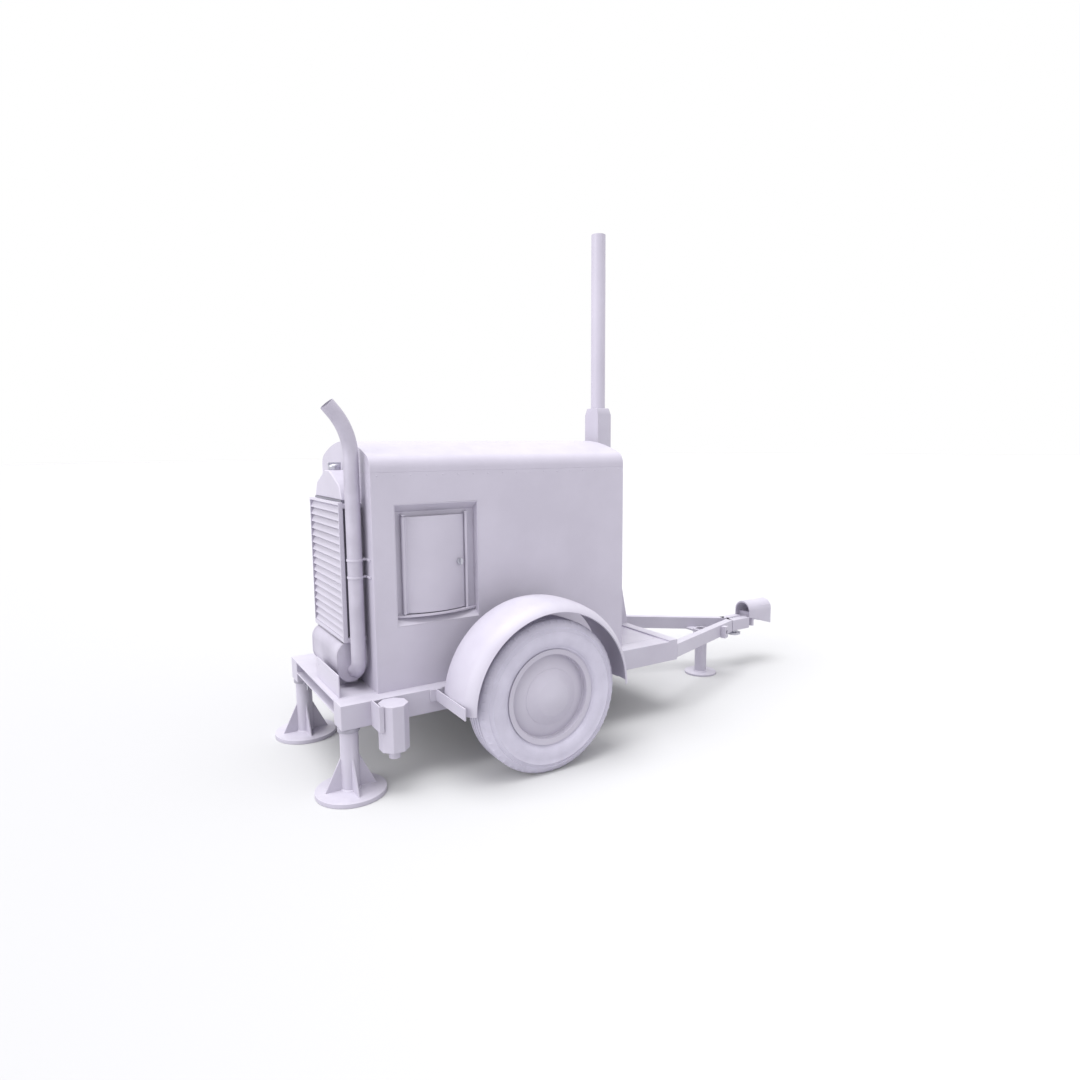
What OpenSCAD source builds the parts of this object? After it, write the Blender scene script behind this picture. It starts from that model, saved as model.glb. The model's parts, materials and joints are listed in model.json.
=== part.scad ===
// Towable diesel generator on a two-wheel trailer.
// Units are millimetres. +X points to the tow hitch, +Z up, -Y is the control side.
// Lengths along X are measured from the wheel axle and moved once, by at_axle(), so that the
// origin lies on the ground under the middle of the whole machine.

/* [Frame] */
// Length of the frame behind the axle
frame_rear = 884; // [860:1:1100]
// Length of the frame ahead of the axle
frame_front = 1015; // [980:1:1250]
// Outside width of the frame
frame_w = 872; // [840:1:1050]
// Height of the rail tops above the ground
frame_top = 410; // [390:1:500]
// Depth of the side rails
rail_h = 110; // [90:1:140]
// Width of the side rails
rail_w = 106; // [96:1:130]
// Wall of the rails and cross members
rail_wall = 6; // [4:0.5:8]
// Thickness of the deck plate
deck_t = 7; // [4:0.5:8]
// Width of the front beam along X
front_beam = 60; // [50:1:90]

/* [Tow bar] */
// Hitch end of the arms, ahead of the axle
arm_kink_x = 1850; // [1700:1:2300]
// Fall of the arms from frame to hitch
arm_fall = 53; // [30:1:70]
// Arm section width
arm_w = 50; // [40:1:60]
// Arm section depth
arm_h = 78; // [60:1:90]
// Length of the parallel hitch bars
hitch_bar = 164; // [120:1:220]
// Length of the coupler hood
coupler_l = 212; // [180:1:260]
// Half width of the coupler hood
coupler_r = 65; // [60:1:75]
// Tow ball diameter
ball_d = 50; // [40:1:60]

/* [Wheels] */
// Outside diameter of the tyres
tyre_d = 720; // [660:1:740]
// Overall width of a tyre
tyre_w = 178; // [150:1:200]
// Distance from the centreline to the middle of a tyre
wheel_y = 635; // [620:1:760]
// Diameter over the rim flange
rim_d = 450; // [400:1:470]
// Diameter of the hub cap
hub_cap_d = 262; // [200:1:280]
// Stub axle diameter
stub_d = 40; // [30:1:50]
// Pivot shaft diameter of the suspension arms
pivot_d = 50; // [40:1:56]
// Side of the square axle tube
axle_tube = 70; // [64:1:90]
// Distance of the axle tube ahead of the wheel centre
arm_lead = 155; // [130:1:180]
// Gap between tyre and mudguard
guard_gap = 40; // [34:1:60]
// Sheet thickness of the mudguards
guard_t = 4; // [2:0.5:6]

/* [Jacks] */
// Distance of the rear jacks from the rear end of the frame
jack_inset = 45; // [45:1:60]
// Outside diameter of the rear jack legs
leg_d = 80; // [60:1:82]
// Diameter of the rear foot plates
foot_d = 307; // [240:1:340]
// Thickness of the rear foot plates
foot_t = 20; // [12:1:26]
// Height of the foot gussets above the ground
gusset_top = 170; // [140:1:200]
// Position of the front jack ahead of the axle
front_jack_x = 1629; // [1500:1:1660]
// Outside diameter of the front jack leg
front_leg_d = 75; // [60:1:80]
// Diameter of the front foot plate
front_foot_d = 203; // [160:1:240]

/* [Housing] */
// Length of the housing behind the axle
housing_rear = 696; // [680:1:760]
// Length of the housing ahead of the axle
housing_front = 673; // [660:1:800]
// Width of the housing
housing_w = 734; // [700:1:820]
// Height of the housing walls
wall_h = 975; // [960:1:1150]
// Rise of the roof above the walls
roof_rise = 138; // [120:1:170]
// Radius of the roof shoulders
shoulder_r = 62; // [50:1:80]
// Sheet thickness of the housing
sheet = 4; // [3:0.5:6]

/* [Control bay] */
// Width of the control bay
bay_w = 410; // [390:1:450]
// Height of the control bay
bay_h = 550; // [530:1:600]
// Distance from the rear wall of the housing to the bay
bay_inset = 101; // [80:1:140]
// Height of the bay above the rail tops
bay_lift = 285; // [270:1:320]
// Depth of the bay
bay_depth = 45; // [40:1:55]
// Width of the bowed door
door_w = 292; // [270:1:300]
// Height of the bowed door
door_h = 440; // [420:1:450]
// Bow of the door
door_bow = 32; // [24:1:38]
// Diameter of the door hinge pin
pin_d = 10; // [8:1:12]

/* [Cooling] */
// Width of the louvre panel
louvre_w = 480; // [440:1:520]
// Height of the louvre panel
louvre_h = 628; // [600:1:660]
// Number of louvre slats
slats = 17; // [12:1:20]
// Gap from the housing to the back of the louvre panel
louvre_gap = 84; // [80:1:100]
// Radiator core width
core_w = 428; // [400:1:436]
// Fan diameter
fan_d = 400; // [340:1:420]

/* [Exhaust] */
// Outside diameter of the exhaust pipe
pipe_d = 66; // [50:1:72]
// Wall of the exhaust pipe
pipe_wall = 3; // [2:0.5:4]
// Height of the muffler body
muffler_h = 190; // [170:1:200]
// Width of the muffler body
muffler_w = 126; // [110:1:130]
// Length of the muffler body
muffler_l = 425; // [380:1:440]
// Gap between the exhaust pipe and the louvre guard beside it
pipe_gap = 2; // [1:1:27]
// Height of the start of the top bend
pipe_bend_z = 1460; // [1400:1:1560]
// Bend radius at the top of the pipe
pipe_bend_r = 290; // [240:1:320]

/* [Mast] */
// Distance of the mast centre ahead of the housing front
mast_gap = 106; // [90:1:130]
// Post size along X
post_x = 92; // [90:1:110]
// Post size along Y
post_y = 126; // [110:1:140]
// Height of the post shoulder above the ground
post_top = 1665; // [1500:1:1900]
// Mast tube diameter
mast_d = 80; // [60:1:80]
// Height of the mast tube top above the ground
mast_top = 2650; // [2400:1:3200]
// Length of the turned head at the top of the mast tube
mast_head = 180; // [120:1:260]

/* [Engine] */
// Height of the crankshaft
crank_z = 700; // [690:1:740]
// Length of the engine block
block_l = 440; // [400:1:460]
// Width of the engine block
block_w = 260; // [240:1:290]
// Diameter of the generator body
gen_d = 380; // [340:1:390]
// Length of the generator body
gen_l = 440; // [400:1:445]
// Crankshaft diameter
crank_d = 60; // [50:1:64]
// Crank pulley diameter
crank_pulley_d = 140; // [120:1:160]
// Fan pulley diameter
fan_pulley_d = 120; // [110:1:140]

/* [Hidden] */
$fn = 64;

// Clearances
run = 0.1;
slack = 1;
gap = 0.5;

// Colours
enamel = "#cdc8d6";
enamel_light = "#dcd8e6";
steel = "#b9b5c2";
dark_steel = "#8f8b98";
rubber = "#a9a5b0";

// Heights
deck_z = frame_top;
rail_bottom = frame_top - rail_h;
eave_z = frame_top + wall_h;
tyre_r = tyre_d / 2;

// Rail places
rail_out = frame_w / 2;
rail_in = rail_out - rail_w;

// Rear cross beam
channel_depth = 60;
channel_h = 65;

// Rear jacks
jack_x = -frame_rear + jack_inset;
jack_y = rail_out - rail_wall - 2 - leg_d / 2;
leg_bore = leg_d - 12;
leg_top = rail_bottom + 3;
collar_h = 18;
screw_d = 10;

// Tow bar
arm_run = arm_kink_x - frame_front;
arm_yaw = atan((rail_out - coupler_r) / arm_run);
arm_len = arm_run / cos(arm_yaw);
arm_pitch = atan(arm_fall / arm_len);
// Half width of the brace between the arms at the front jack, sunk a little into both
brace_sink = 3.5;
brace_y = rail_out - (front_jack_x - frame_front) * tan(arm_yaw) - arm_w / cos(arm_yaw) + brace_sink;
arm_start_z = frame_top - 60;
hitch_z = arm_start_z - arm_fall;
hitch_x = arm_kink_x + hitch_bar;
coupler_nose = hitch_x + coupler_l;
coupler_arch_z = hitch_z + 73;
coupler_foot_z = hitch_z - arm_h / 2 + 3;
ball_x = coupler_nose - 50;
ball_z = hitch_z + 30;
clamp_pin_x = coupler_nose - 120;

// The origin lies midway between the rear feet and the coupler nose
rear_end = jack_x - foot_d / 2;
axle_x = -(rear_end + coupler_nose) / 2;

// Suspension
tube_z = rail_bottom - axle_tube / 2;
arm_y = rail_out + 10;
arm_plate = 30;

// Mudguards
guard_r = tyre_r + guard_gap;
guard_in = wheel_y - tyre_w / 2 - 51;
guard_out = wheel_y + tyre_w / 2 + 23;

// Fuel filter beside the rear end of the near rail
filter_x = -678;
filter_y = -rail_out - 70;
filter_d = 132;
filter_l = 205;
filter_drop = 245;
filter_leaf_x = filter_x - 69;
leaf_t = 6;

// Housing
hx0 = -housing_rear;
hx1 = housing_front;
hy = housing_w / 2;
// Height of the roof's upright sides below its shoulders, which sets the crown's radius
roof_side = 16.6;
crown_rise = roof_rise - roof_side;
crown_chord = pow(crown_rise, 2) + pow(hy - shoulder_r, 2) - pow(shoulder_r, 2);
crown_r = crown_chord / (2 * (crown_rise - shoulder_r));
bay_x0 = hx0 + bay_inset;
bay_x1 = bay_x0 + bay_w;
bay_z0 = frame_top + bay_lift;
bay_z1 = bay_z0 + bay_h;
bay_mid = (bay_x0 + bay_x1) / 2;
bay_back = -hy + bay_depth;
bay_slope = 38;
door_z0 = bay_z0 + 50;
door_r = (pow(door_w / 2, 2) + pow(door_bow, 2)) / (2 * door_bow);
hinge_x = bay_mid - door_w / 2 - 9;
hinge_y = -hy + 29;
knuckle_r = pin_d / 2 + 4;
latch_x = bay_mid + door_w / 2 - 30;
latch_z = door_z0 + door_h / 2;

// Control panel
panel_y = bay_back + 60;
panel_face = panel_y - 3;
dial_z = door_z0 + 380;
screen_z = door_z0 + 290;
button_z = door_z0 + 205;
breaker_z = door_z0 + 130;
outlet_z = door_z0 + 55;
control_step = 76;
button_d = 22;
outlet_d = 52;
socket_d = 40;

// Service door, on the far side above the mudguard
serve_z0 = tyre_r + guard_r + 70;
serve_z1 = eave_z - 120;
serve_x = 350;
serve_latch_x = serve_x - 30;
serve_latch_z = (serve_z0 + serve_z1) / 2;
serve_slots = 8;
serve_hinge_x = -serve_x - 28;
serve_hinge_y = hy + 8.5;
serve_pin = 8;

// Cooling
louvre_x = hx0 - louvre_gap;
louvre_t = 20;
louvre_z0 = frame_top + 216;
louvre_z1 = louvre_z0 + louvre_h;
core_x0 = louvre_x;
core_x1 = hx0 - 19;
core_z1 = louvre_z1 + 8;
tank_top = core_z1 + 128;
cap_x = hx0 - 44;
fan_z = crank_z + 250;
fan_x = hx0 + 60;

// Engine
block_x1 = 60;
block_x0 = block_x1 - block_l;
block_z0 = crank_z - 100;
block_z1 = crank_z + 200;
foot_out = 30;
head_z1 = block_z1 + 110;
pulley_x = block_x0 - 60;
pulley_w = 25;
gen_x1 = block_x1 + gen_l;
tank_x = hx1 - 62;
tank_z1 = frame_top + 560;

// Exhaust
muffler_x = hx0 - 68.5;
muffler_z = frame_top + 120;
muffler_y0 = -215;
muffler_y1 = muffler_y0 + muffler_l;
pipe_x = hx0 - 51;
pipe_y = louvre_w / 2 + pipe_gap + pipe_d / 2;
elbow_r = pipe_y + muffler_y0;
elbow_z = muffler_z - 40 + elbow_r;
pipe_tilt = 40;
pipe_tip = 40;
clamp_zs = [frame_top + 511, frame_top + 588];
inlet_d = 44;
inlet_y = block_w / 2 + foot_out + 25;
inlet_x = block_x0 + 160;

// Mast
mast_x = hx1 + mast_gap;
cap_h = 39;
mast_foot = post_top - 415;
winch_y = post_y / 2 + 107;
winch_z = 1010;

module at_axle() {
  translate([axle_x, 0, 0]) children();
}

// Box between two corners
module block(lo, hi) {
  translate(lo) cube(hi - lo);
}

// Cylinders that start at a point and run along an axis
module rod_x(p, d, l) {
  translate(p) rotate([0, 90, 0]) cylinder(d = d, h = l);
}

module rod_y(p, d, l) {
  translate(p) rotate([-90, 0, 0]) cylinder(d = d, h = l);
}

module rod_z(p, d, l) {
  translate(p) cylinder(d = d, h = l);
}

// Side -1 is the control side, 1 the far side
module on_side(side) {
  mirror([0, side > 0 ? 1 : 0, 0]) children();
}

// ---------- frame ----------

module side_rail() {
  difference() {
    block([-frame_rear, -rail_out, rail_bottom], [frame_front - front_beam, -rail_in, frame_top]);
    block([-frame_rear + 4, -rail_out + rail_wall, rail_bottom + rail_wall],
      [frame_front - front_beam - rail_wall, -rail_in - rail_wall, frame_top - rail_wall]);
    rod_z([jack_x, -jack_y, rail_bottom - 1], leg_d + slack, rail_wall + 2);
  }
}

module cross_member(x) {
  difference() {
    block([x - 30, -rail_in, rail_bottom], [x + 30, rail_in, deck_z - deck_t]);
    block([x - 24, -rail_in - 1, rail_bottom + rail_wall], [x + 24, rail_in + 1, deck_z]);
  }
}

module chassis_frame() {
  color(enamel) at_axle() {
    for (side = [-1, 1]) on_side(side) side_rail();
    for (x = [-540, -150, 250]) cross_member(x);
    rear_channel();
    mast_ribs();
    front_box();
  }
}

// Cross beam under the rear edge of the deck, open to the rear
module rear_channel() {
  web_x = -frame_rear + channel_depth;
  floor_z = deck_z - channel_h;
  block([-frame_rear, -rail_in, floor_z], [web_x, rail_in, floor_z + rail_wall]);
  block([web_x - rail_wall, -rail_in, floor_z], [web_x, rail_in, deck_z - deck_t]);
}

// Two ribs that carry the foot of the mast
module mast_ribs() {
  for (side = [-1, 1]) on_side(side)
    block([mast_x - 70, -140, rail_bottom + 20], [frame_front - front_beam, -134, deck_z - deck_t]);
  block([mast_x - 76, -rail_in, rail_bottom], [mast_x - 70, rail_in, deck_z - deck_t]);
}

module front_box() {
  top = frame_top + 8;
  difference() {
    block([frame_front - front_beam, -rail_out, rail_bottom], [frame_front, rail_out, top]);
    block([frame_front - front_beam + rail_wall, -rail_out + rail_wall, rail_bottom + rail_wall],
      [frame_front - rail_wall, rail_out - rail_wall, top - rail_wall]);
  }
}

module deck_plate() {
  color(enamel_light) at_axle() {
    block([-frame_rear, -rail_in, deck_z - deck_t], [hx1 - 100, rail_in, deck_z]);
    block([hx1 - 100 + gap, -rail_in, deck_z - deck_t], [frame_front - front_beam, rail_in, deck_z]);
  }
}

// ---------- tow bar ----------

// Places children in the near arm's own frame: X along the arm, origin at its outer start edge
module on_arm() {
  translate([frame_front, -rail_out, arm_start_z])
    rotate([0, 0, arm_yaw]) rotate([0, arm_pitch, 0]) children();
}

module drawbar_arm() {
  intersection() {
    on_arm() block([-60, 0, -arm_h / 2], [arm_len + 20, arm_w, arm_h / 2]);
    block([frame_front, -frame_w, 0], [arm_kink_x, frame_w, frame_top]);
  }
}

module drawbar() {
  sleeve_r = front_leg_d / 2 + 14;
  sleeve_z = arm_start_z - 90;
  color(enamel) at_axle() difference() {
    union() {
      for (side = [-1, 1]) on_side(side) {
        drawbar_arm();
        block([arm_kink_x - 2, -coupler_r, hitch_z - arm_h / 2 + 3],
          [hitch_x, -coupler_r + arm_w, hitch_z + arm_h / 2 - 3]);
      }
      rod_z([front_jack_x, 0, sleeve_z], 2 * sleeve_r, 38);
      block([front_jack_x - 30, -brace_y, sleeve_z + 14], [front_jack_x + 30, brace_y, sleeve_z + 26]);
      block([front_jack_x, -14, sleeve_z + 6], [front_jack_x + 70, 14, sleeve_z + 34]);
    }
    rod_z([front_jack_x, 0, sleeve_z - 1], front_leg_d + 2 * run, 60);
    rod_x([front_jack_x, 0, sleeve_z + 20], screw_d + 2 * run, 80);
  }
}

module hood_outline(r) {
  translate([0, coupler_arch_z]) circle(r);
  translate([-r, coupler_foot_z]) square([2 * r, coupler_arch_z - coupler_foot_z]);
}

module coupler_head() {
  inner = coupler_r - 6;
  color(enamel) at_axle() difference() {
    union() {
      difference() {
        translate([hitch_x, 0, 0]) rotate([90, 0, 90]) linear_extrude(coupler_l) hood_outline(coupler_r);
        translate([hitch_x - 1, 0, -7]) rotate([90, 0, 90]) linear_extrude(coupler_l + 2) hood_outline(inner);
      }
      block([ball_x - 44, -inner - 1, ball_z - 2], [coupler_nose, inner + 1, coupler_arch_z + 30]);
      block([arm_kink_x + 40, -coupler_r + arm_w, hitch_z - 30],
        [clamp_pin_x - 40, coupler_r - arm_w, hitch_z + 30]);
      block([clamp_pin_x - 60, -inner - 1, hitch_z - 30], [clamp_pin_x - 40, inner + 1, hitch_z + 60]);
    }
    coupler_relief();
    translate([ball_x, 0, ball_z]) sphere(d = ball_d + 1);
    rod_z([ball_x, 0, 0], ball_d + 1, ball_z);
    rod_y([clamp_pin_x, -coupler_r - 1, ball_z - 20], 12 + 2 * run, 2 * coupler_r + 2);
    rod_z([arm_kink_x + 80, 0, 0], 20 + 2 * run, frame_top);
  }
}

// Side cheeks of the hood rise towards the hitch bars
module coupler_relief() {
  for (side = [-1, 1]) translate([0, side * (coupler_r - 3) + 5, 0]) rotate([90, 0, 0]) linear_extrude(10)
    polygon([[hitch_x - 1, coupler_foot_z - 1], [coupler_nose + 1, coupler_foot_z - 1],
      [coupler_nose + 1, coupler_foot_z + 7], [hitch_x + 12, hitch_z + 29], [hitch_x - 1, hitch_z + 29]]);
}

module coupler_pin() {
  color(steel) at_axle() {
    foot = hitch_z - arm_h / 2 + 3;
    rod_z([arm_kink_x + 80, 0, foot - 42], 94, 14);
    rod_z([arm_kink_x + 80, 0, foot - 28], 40, 28);
    rod_z([arm_kink_x + 80, 0, foot], 20, arm_h - 8);
  }
}

module ball_clamp() {
  z = ball_z - 20;
  color(dark_steel) at_axle() {
    rod_y([clamp_pin_x, -coupler_r, z], 12, 2 * coupler_r);
    rod_y([clamp_pin_x, -20, z], 26, 40);
    block([clamp_pin_x, -18, z - 12], [ball_x - ball_d / 2 - 4, 18, z + 12]);
  }
}

module junction_box() {
  color(enamel) at_axle() on_arm() translate([arm_len * 0.76, 0, 0]) difference() {
    block([0, -32, -44], [52, 0, 30]);
    rod_y([26, -33, -7], 30, 20);
  }
}

// ---------- wheels ----------

module axle_tube() {
  color(dark_steel) at_axle() difference() {
    block([arm_lead - axle_tube / 2, -rail_out, rail_bottom - axle_tube],
      [arm_lead + axle_tube / 2, rail_out, rail_bottom]);
    for (side = [-1, 1]) on_side(side) rod_y([arm_lead, -rail_out - 1, tube_z], pivot_d + 2 * run, 121);
  }
}

module suspension_arm(side) {
  color(dark_steel) at_axle() on_side(side) {
    rod_y([arm_lead, -arm_y, tube_z], pivot_d, 110);
    rod_y([0, -wheel_y - 60, tyre_r], stub_d, wheel_y + 60 - arm_y);
    hull() {
      rod_y([arm_lead, -arm_y - arm_plate, tube_z], axle_tube, arm_plate);
      rod_y([0, -arm_y - arm_plate, tyre_r], stub_d + 24, arm_plate);
    }
  }
}

module suspension_arm_left() { suspension_arm(-1); }
module suspension_arm_right() { suspension_arm(1); }

// Turns a profile of [radius, distance outward from the wheel's middle] about the wheel axis
module wheel_turn(side) {
  on_side(side) translate([0, -wheel_y, tyre_r]) rotate([90, 0, 0]) rotate_extrude($fn = 96) children();
}

module tyre(side) {
  half = tyre_w / 2;
  bead = rim_d / 2;
  color(rubber) at_axle() wheel_turn(side) polygon([
    [bead - 22, -half + 30], [bead, -half + 24], [bead + 30, -half + 6], [bead + 70, -half],
    [tyre_r - 30, -half + 10], [tyre_r - 6, -half + 24], [tyre_r, -half + 34],
    [tyre_r, half - 34], [tyre_r - 6, half - 24], [tyre_r - 30, half - 10], [bead + 70, half],
    [bead + 30, half - 6], [bead, half - 24], [bead - 22, half - 30], [bead - 22, half - 60],
    [bead - 10, 0], [bead - 22, -half + 60]]);
}

module tyre_left() { tyre(-1); }
module tyre_right() { tyre(1); }

// Well, disc and hub cap in one outline, from the inner flange round to the bore
module wheel_rim(side) {
  half = tyre_w / 2;
  r = rim_d / 2;
  cap = hub_cap_d / 2;
  color(enamel) at_axle() wheel_turn(side) polygon([
    [r - 34, -half + 18], [r - 2, -half + 18], [r - 2, -half + 23.7], [r - 22.3, -half + 29.7],
    [r - 22.3, -half + 60], [r - 26, 0], [r - 22.3, half - 60], [r - 22.3, half - 29.7],
    [r - 2, half - 23.7], [r - 2, half - 19], [r - 26, half - 21], [r - 30, half - 48],
    [cap, half - 26], [cap * 0.63, half], [cap * 0.3, half + 14], [0, half + 18],
    [0, half + 6], [stub_d / 2 + run, half - 10], [stub_d / 2 + run, -half + 14], [58, -half + 14],
    [62, half - 56], [r - 38, half - 58]]);
}

module wheel_rim_left() { wheel_rim(-1); }
module wheel_rim_right() { wheel_rim(1); }

module mudguard(side) {
  top = guard_r + 47;
  outer = [[guard_in, top - 11], [guard_in + 40, top - 3], [guard_in + 105, top],
    [guard_out - 58, top - 6], [guard_out - 26, top - 20], [guard_out, guard_r]];
  inner = [for (i = [len(outer) - 1:-1:0]) [outer[i][0] - (i > 3 ? guard_t / 2 : 0), outer[i][1] - guard_t]];
  color(enamel) at_axle() on_side(side) translate([0, 0, tyre_r]) rotate([90, 0, 0])
    rotate_extrude(angle = 180, $fn = 96) polygon([for (p = concat(outer, inner)) [p[1], p[0]]]);
}

module mudguard_left() { mudguard(-1); }
module mudguard_right() { mudguard(1); }

// Flat bars from the rails to the mudguards, and the plate that carries the fuel filter
module side_brackets() {
  bar_x = guard_r + 50;
  foot_y = rail_out + 10;
  bar_z = tyre_r - 6;
  color(enamel) at_axle() {
    for (side = [-1, 1], end = [-1, 1]) on_side(side) {
      // The front bars stop short, hidden behind the guard
      bar_y = end < 0 ? 6 - guard_out : 15 - wheel_y;
      block([end * bar_x - 3, bar_y, bar_z], [end * bar_x + 3, -foot_y, bar_z + 54]);
      block([end * bar_x - 30, -foot_y, bar_z], [end * bar_x + 30, -rail_out, bar_z + 54]);
    }
    filter_bracket();
  }
}

// Folded bracket whose leaf stands across the rail and carries the filter
module filter_bracket() {
  leaf_out = rail_out + 109;
  block([filter_leaf_x - leaf_t, -leaf_out, rail_bottom], [filter_leaf_x, -rail_out, frame_top + leaf_t]);
  block([filter_leaf_x, -leaf_out, rail_bottom], [filter_leaf_x + 14, leaf_t - leaf_out, frame_top + leaf_t]);
  block([filter_leaf_x, -rail_out - leaf_t, rail_bottom], [filter_leaf_x + 33, -rail_out, frame_top]);
}

module filter_canister() {
  flat_x = filter_x - filter_d / 2 * cos(22.5);
  color(enamel) at_axle() {
    translate([filter_x, filter_y, frame_top - filter_l]) rotate([0, 0, 22.5])
      cylinder(d = filter_d, h = filter_l, $fn = 8);
    rod_z([filter_x, filter_y, frame_top - filter_drop], 50, 50);
    block([filter_leaf_x, filter_y - 20, frame_top - 60], [flat_x + 2, filter_y + 20, frame_top - 30]);
  }
}

// ---------- jacks ----------

module jack_guides() {
  boss = leg_d / 2 + 30;
  color(dark_steel) at_axle() for (side = [-1, 1]) on_side(side) {
    rod_z([jack_x, -jack_y, foot_t + 110], leg_bore - 2 * run, frame_top - rail_wall - foot_t - 110);
    difference() {
      union() {
        rod_z([jack_x, -jack_y, rail_bottom - collar_h], leg_d + 16, collar_h);
        block([jack_x - 12, -jack_y, rail_bottom - collar_h], [jack_x + 12, -jack_y + boss, rail_bottom]);
      }
      rod_z([jack_x, -jack_y, rail_bottom - collar_h - 1], leg_d + 2 * run, collar_h + 2);
      rod_y([jack_x, -jack_y, rail_bottom - collar_h / 2], screw_d + 2 * run, boss + 1);
    }
  }
}

// Foot plate with a hollow leg that ends at the given height
module leg_tube(d, bore, foot, t, top) {
  difference() {
    union() {
      cylinder(d = foot, h = t, $fn = 96);
      cylinder(d = d, h = top);
    }
    translate([0, 0, t]) cylinder(d = bore, h = top);
  }
}

module rear_leg(side) {
  color(enamel) at_axle() on_side(side) translate([jack_x, -jack_y, 0]) {
    leg_tube(leg_d, leg_bore, foot_d, foot_t, leg_top);
    for (a = [0:90:270]) rotate([90, 0, a]) translate([0, 0, -4]) linear_extrude(8)
      polygon([[leg_d / 2 - 1, foot_t], [foot_d * 0.37, foot_t], [leg_d / 2 - 1, gusset_top]]);
  }
}

module rear_leg_left() { rear_leg(-1); }
module rear_leg_right() { rear_leg(1); }

module rear_clamp(side) {
  tip = -jack_y + leg_d / 2 + gap;
  color(steel) at_axle() on_side(side) {
    rod_y([jack_x, tip, rail_bottom - collar_h / 2], screw_d, 44);
    rod_z([jack_x, tip + 44, rail_bottom - collar_h / 2 - 32], screw_d, 64);
  }
}

module rear_clamp_left() { rear_clamp(-1); }
module rear_clamp_right() { rear_clamp(1); }

module front_leg() {
  color(enamel) at_axle() translate([front_jack_x, 0, 0])
    leg_tube(front_leg_d, front_leg_d - 12, front_foot_d, 12, arm_start_z - 50);
}

module front_clamp() {
  tip = front_jack_x + front_leg_d / 2 + gap;
  color(steel) at_axle() {
    rod_x([tip, 0, arm_start_z - 70], screw_d, 46);
    rod_z([tip + 46, 0, arm_start_z - 70 - 22], screw_d, 44);
  }
}

// ---------- housing ----------

module housing_walls() {
  color(enamel) at_axle() {
    difference() {
      block([hx0, -hy, frame_top], [hx1, hy, eave_z]);
      block([hx0 + sheet, -hy + sheet, frame_top - 1], [hx1 - sheet, hy - sheet, eave_z + 1]);
      block([bay_x0, -hy - 1, bay_z0], [bay_x1, -hy + sheet + 1, bay_z1]);
      block([-serve_x, hy - sheet - 1, serve_z0 + 26], [serve_x, hy + 1, serve_z1 - 26]);
      block([hx0 - 1, -core_w / 2 + 30, louvre_z0 + 70], [hx0 + sheet + 1, core_w / 2 - 30, louvre_z1 - 60]);
      rod_x([hx0 - 1, inlet_y, muffler_z], inlet_d + 8, sheet + 2);
      rod_y([tank_x, hy - sheet - 1, tank_z1 - 70], 54, sheet + 2);
    }
    service_hinge_ears();
  }
}

module service_hinge_ears() {
  for (z = [serve_z0 - 8, serve_z1 - 2]) block([serve_hinge_x - 8, hy, z],
    [serve_hinge_x + 8, serve_hinge_y + 8, z + 10]);
  rod_z([serve_hinge_x, serve_hinge_y, serve_z0], serve_pin, serve_z1 - serve_z0);
}

// Section of the roof: a wide crown arc between two shoulder arcs, drawn the inset inwards
// and down to the base height
function roof_points(inset, base) =
  let (s = shoulder_r - inset, r = crown_r - inset, sy = hy - shoulder_r,
    sz = sqrt(pow(crown_r - shoulder_r, 2) - pow(sy, 2)), zc = roof_rise - crown_r, a = atan(sy / sz))
  concat([[hy - inset, base]],
    [for (t = [0:8]) let (q = (90 - a) * t / 8) [sy + s * cos(q), zc + sz + s * sin(q)]],
    [for (t = [1:23]) let (q = 90 - a + a * t / 12) [r * cos(q), zc + r * sin(q)]],
    [for (t = [0:8]) let (q = 90 + a + (90 - a) * t / 8) [s * cos(q) - sy, zc + sz + s * sin(q)]],
    [[inset - hy, base]]);

module roof_cover() {
  color(enamel_light) at_axle() difference() {
    translate([hx0, 0, eave_z]) rotate([90, 0, 90]) linear_extrude(hx1 - hx0) polygon(roof_points(0, 0));
    translate([hx0 + sheet, 0, eave_z]) rotate([90, 0, 90])
      linear_extrude(hx1 - hx0 - 2 * sheet) polygon(roof_points(sheet, -1));
  }
}

// ---------- control bay ----------

module control_bay() {
  back = 4;
  color(enamel) at_axle() {
    difference() {
      block([bay_x0, -hy, bay_z0], [bay_x1, bay_back + back, bay_z1]);
      translate([bay_x0 + sheet, 0, 0]) rotate([90, 0, 90]) linear_extrude(bay_w - 2 * sheet)
        polygon([[-hy - 1, bay_z0 + 3], [bay_back, bay_z0 + bay_slope],
          [bay_back, bay_z1 - bay_slope], [-hy - 1, bay_z1 - 3]]);
      block([bay_mid - door_w / 2 + 14, bay_back - 1, door_z0 + 10],
        [bay_mid + door_w / 2 - 14, bay_back + back + 1, door_z0 + door_h - 10]);
    }
    rod_z([hinge_x, hinge_y, door_z0 - 6], pin_d, door_h + 12);
    rod_z([2 * bay_mid - hinge_x, hinge_y, door_z0 - 6], pin_d + 4, door_h + 12);
    for (z = [door_z0 - 12, door_z0 + door_h + 6], m = [-1, 1])
      translate([bay_mid + m * (hinge_x - bay_mid), 0, 0]) block([-9, hinge_y - 8, z], [9, bay_back, z + 6]);
    bay_sill();
  }
}

// Ledge under the door, bowed like the door
module bay_sill() {
  chord = bay_w / 2 - sheet;
  bow = door_bow + 8;
  r = (pow(chord, 2) + pow(bow, 2)) / (2 * bow);
  intersection() {
    rod_z([bay_mid, r - hy - 8, door_z0 - 14], 2 * r, 9);
    block([bay_x0 + sheet, -hy - 20, door_z0 - 14], [bay_x1 - sheet, bay_back, door_z0 - 5]);
  }
}

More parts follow.
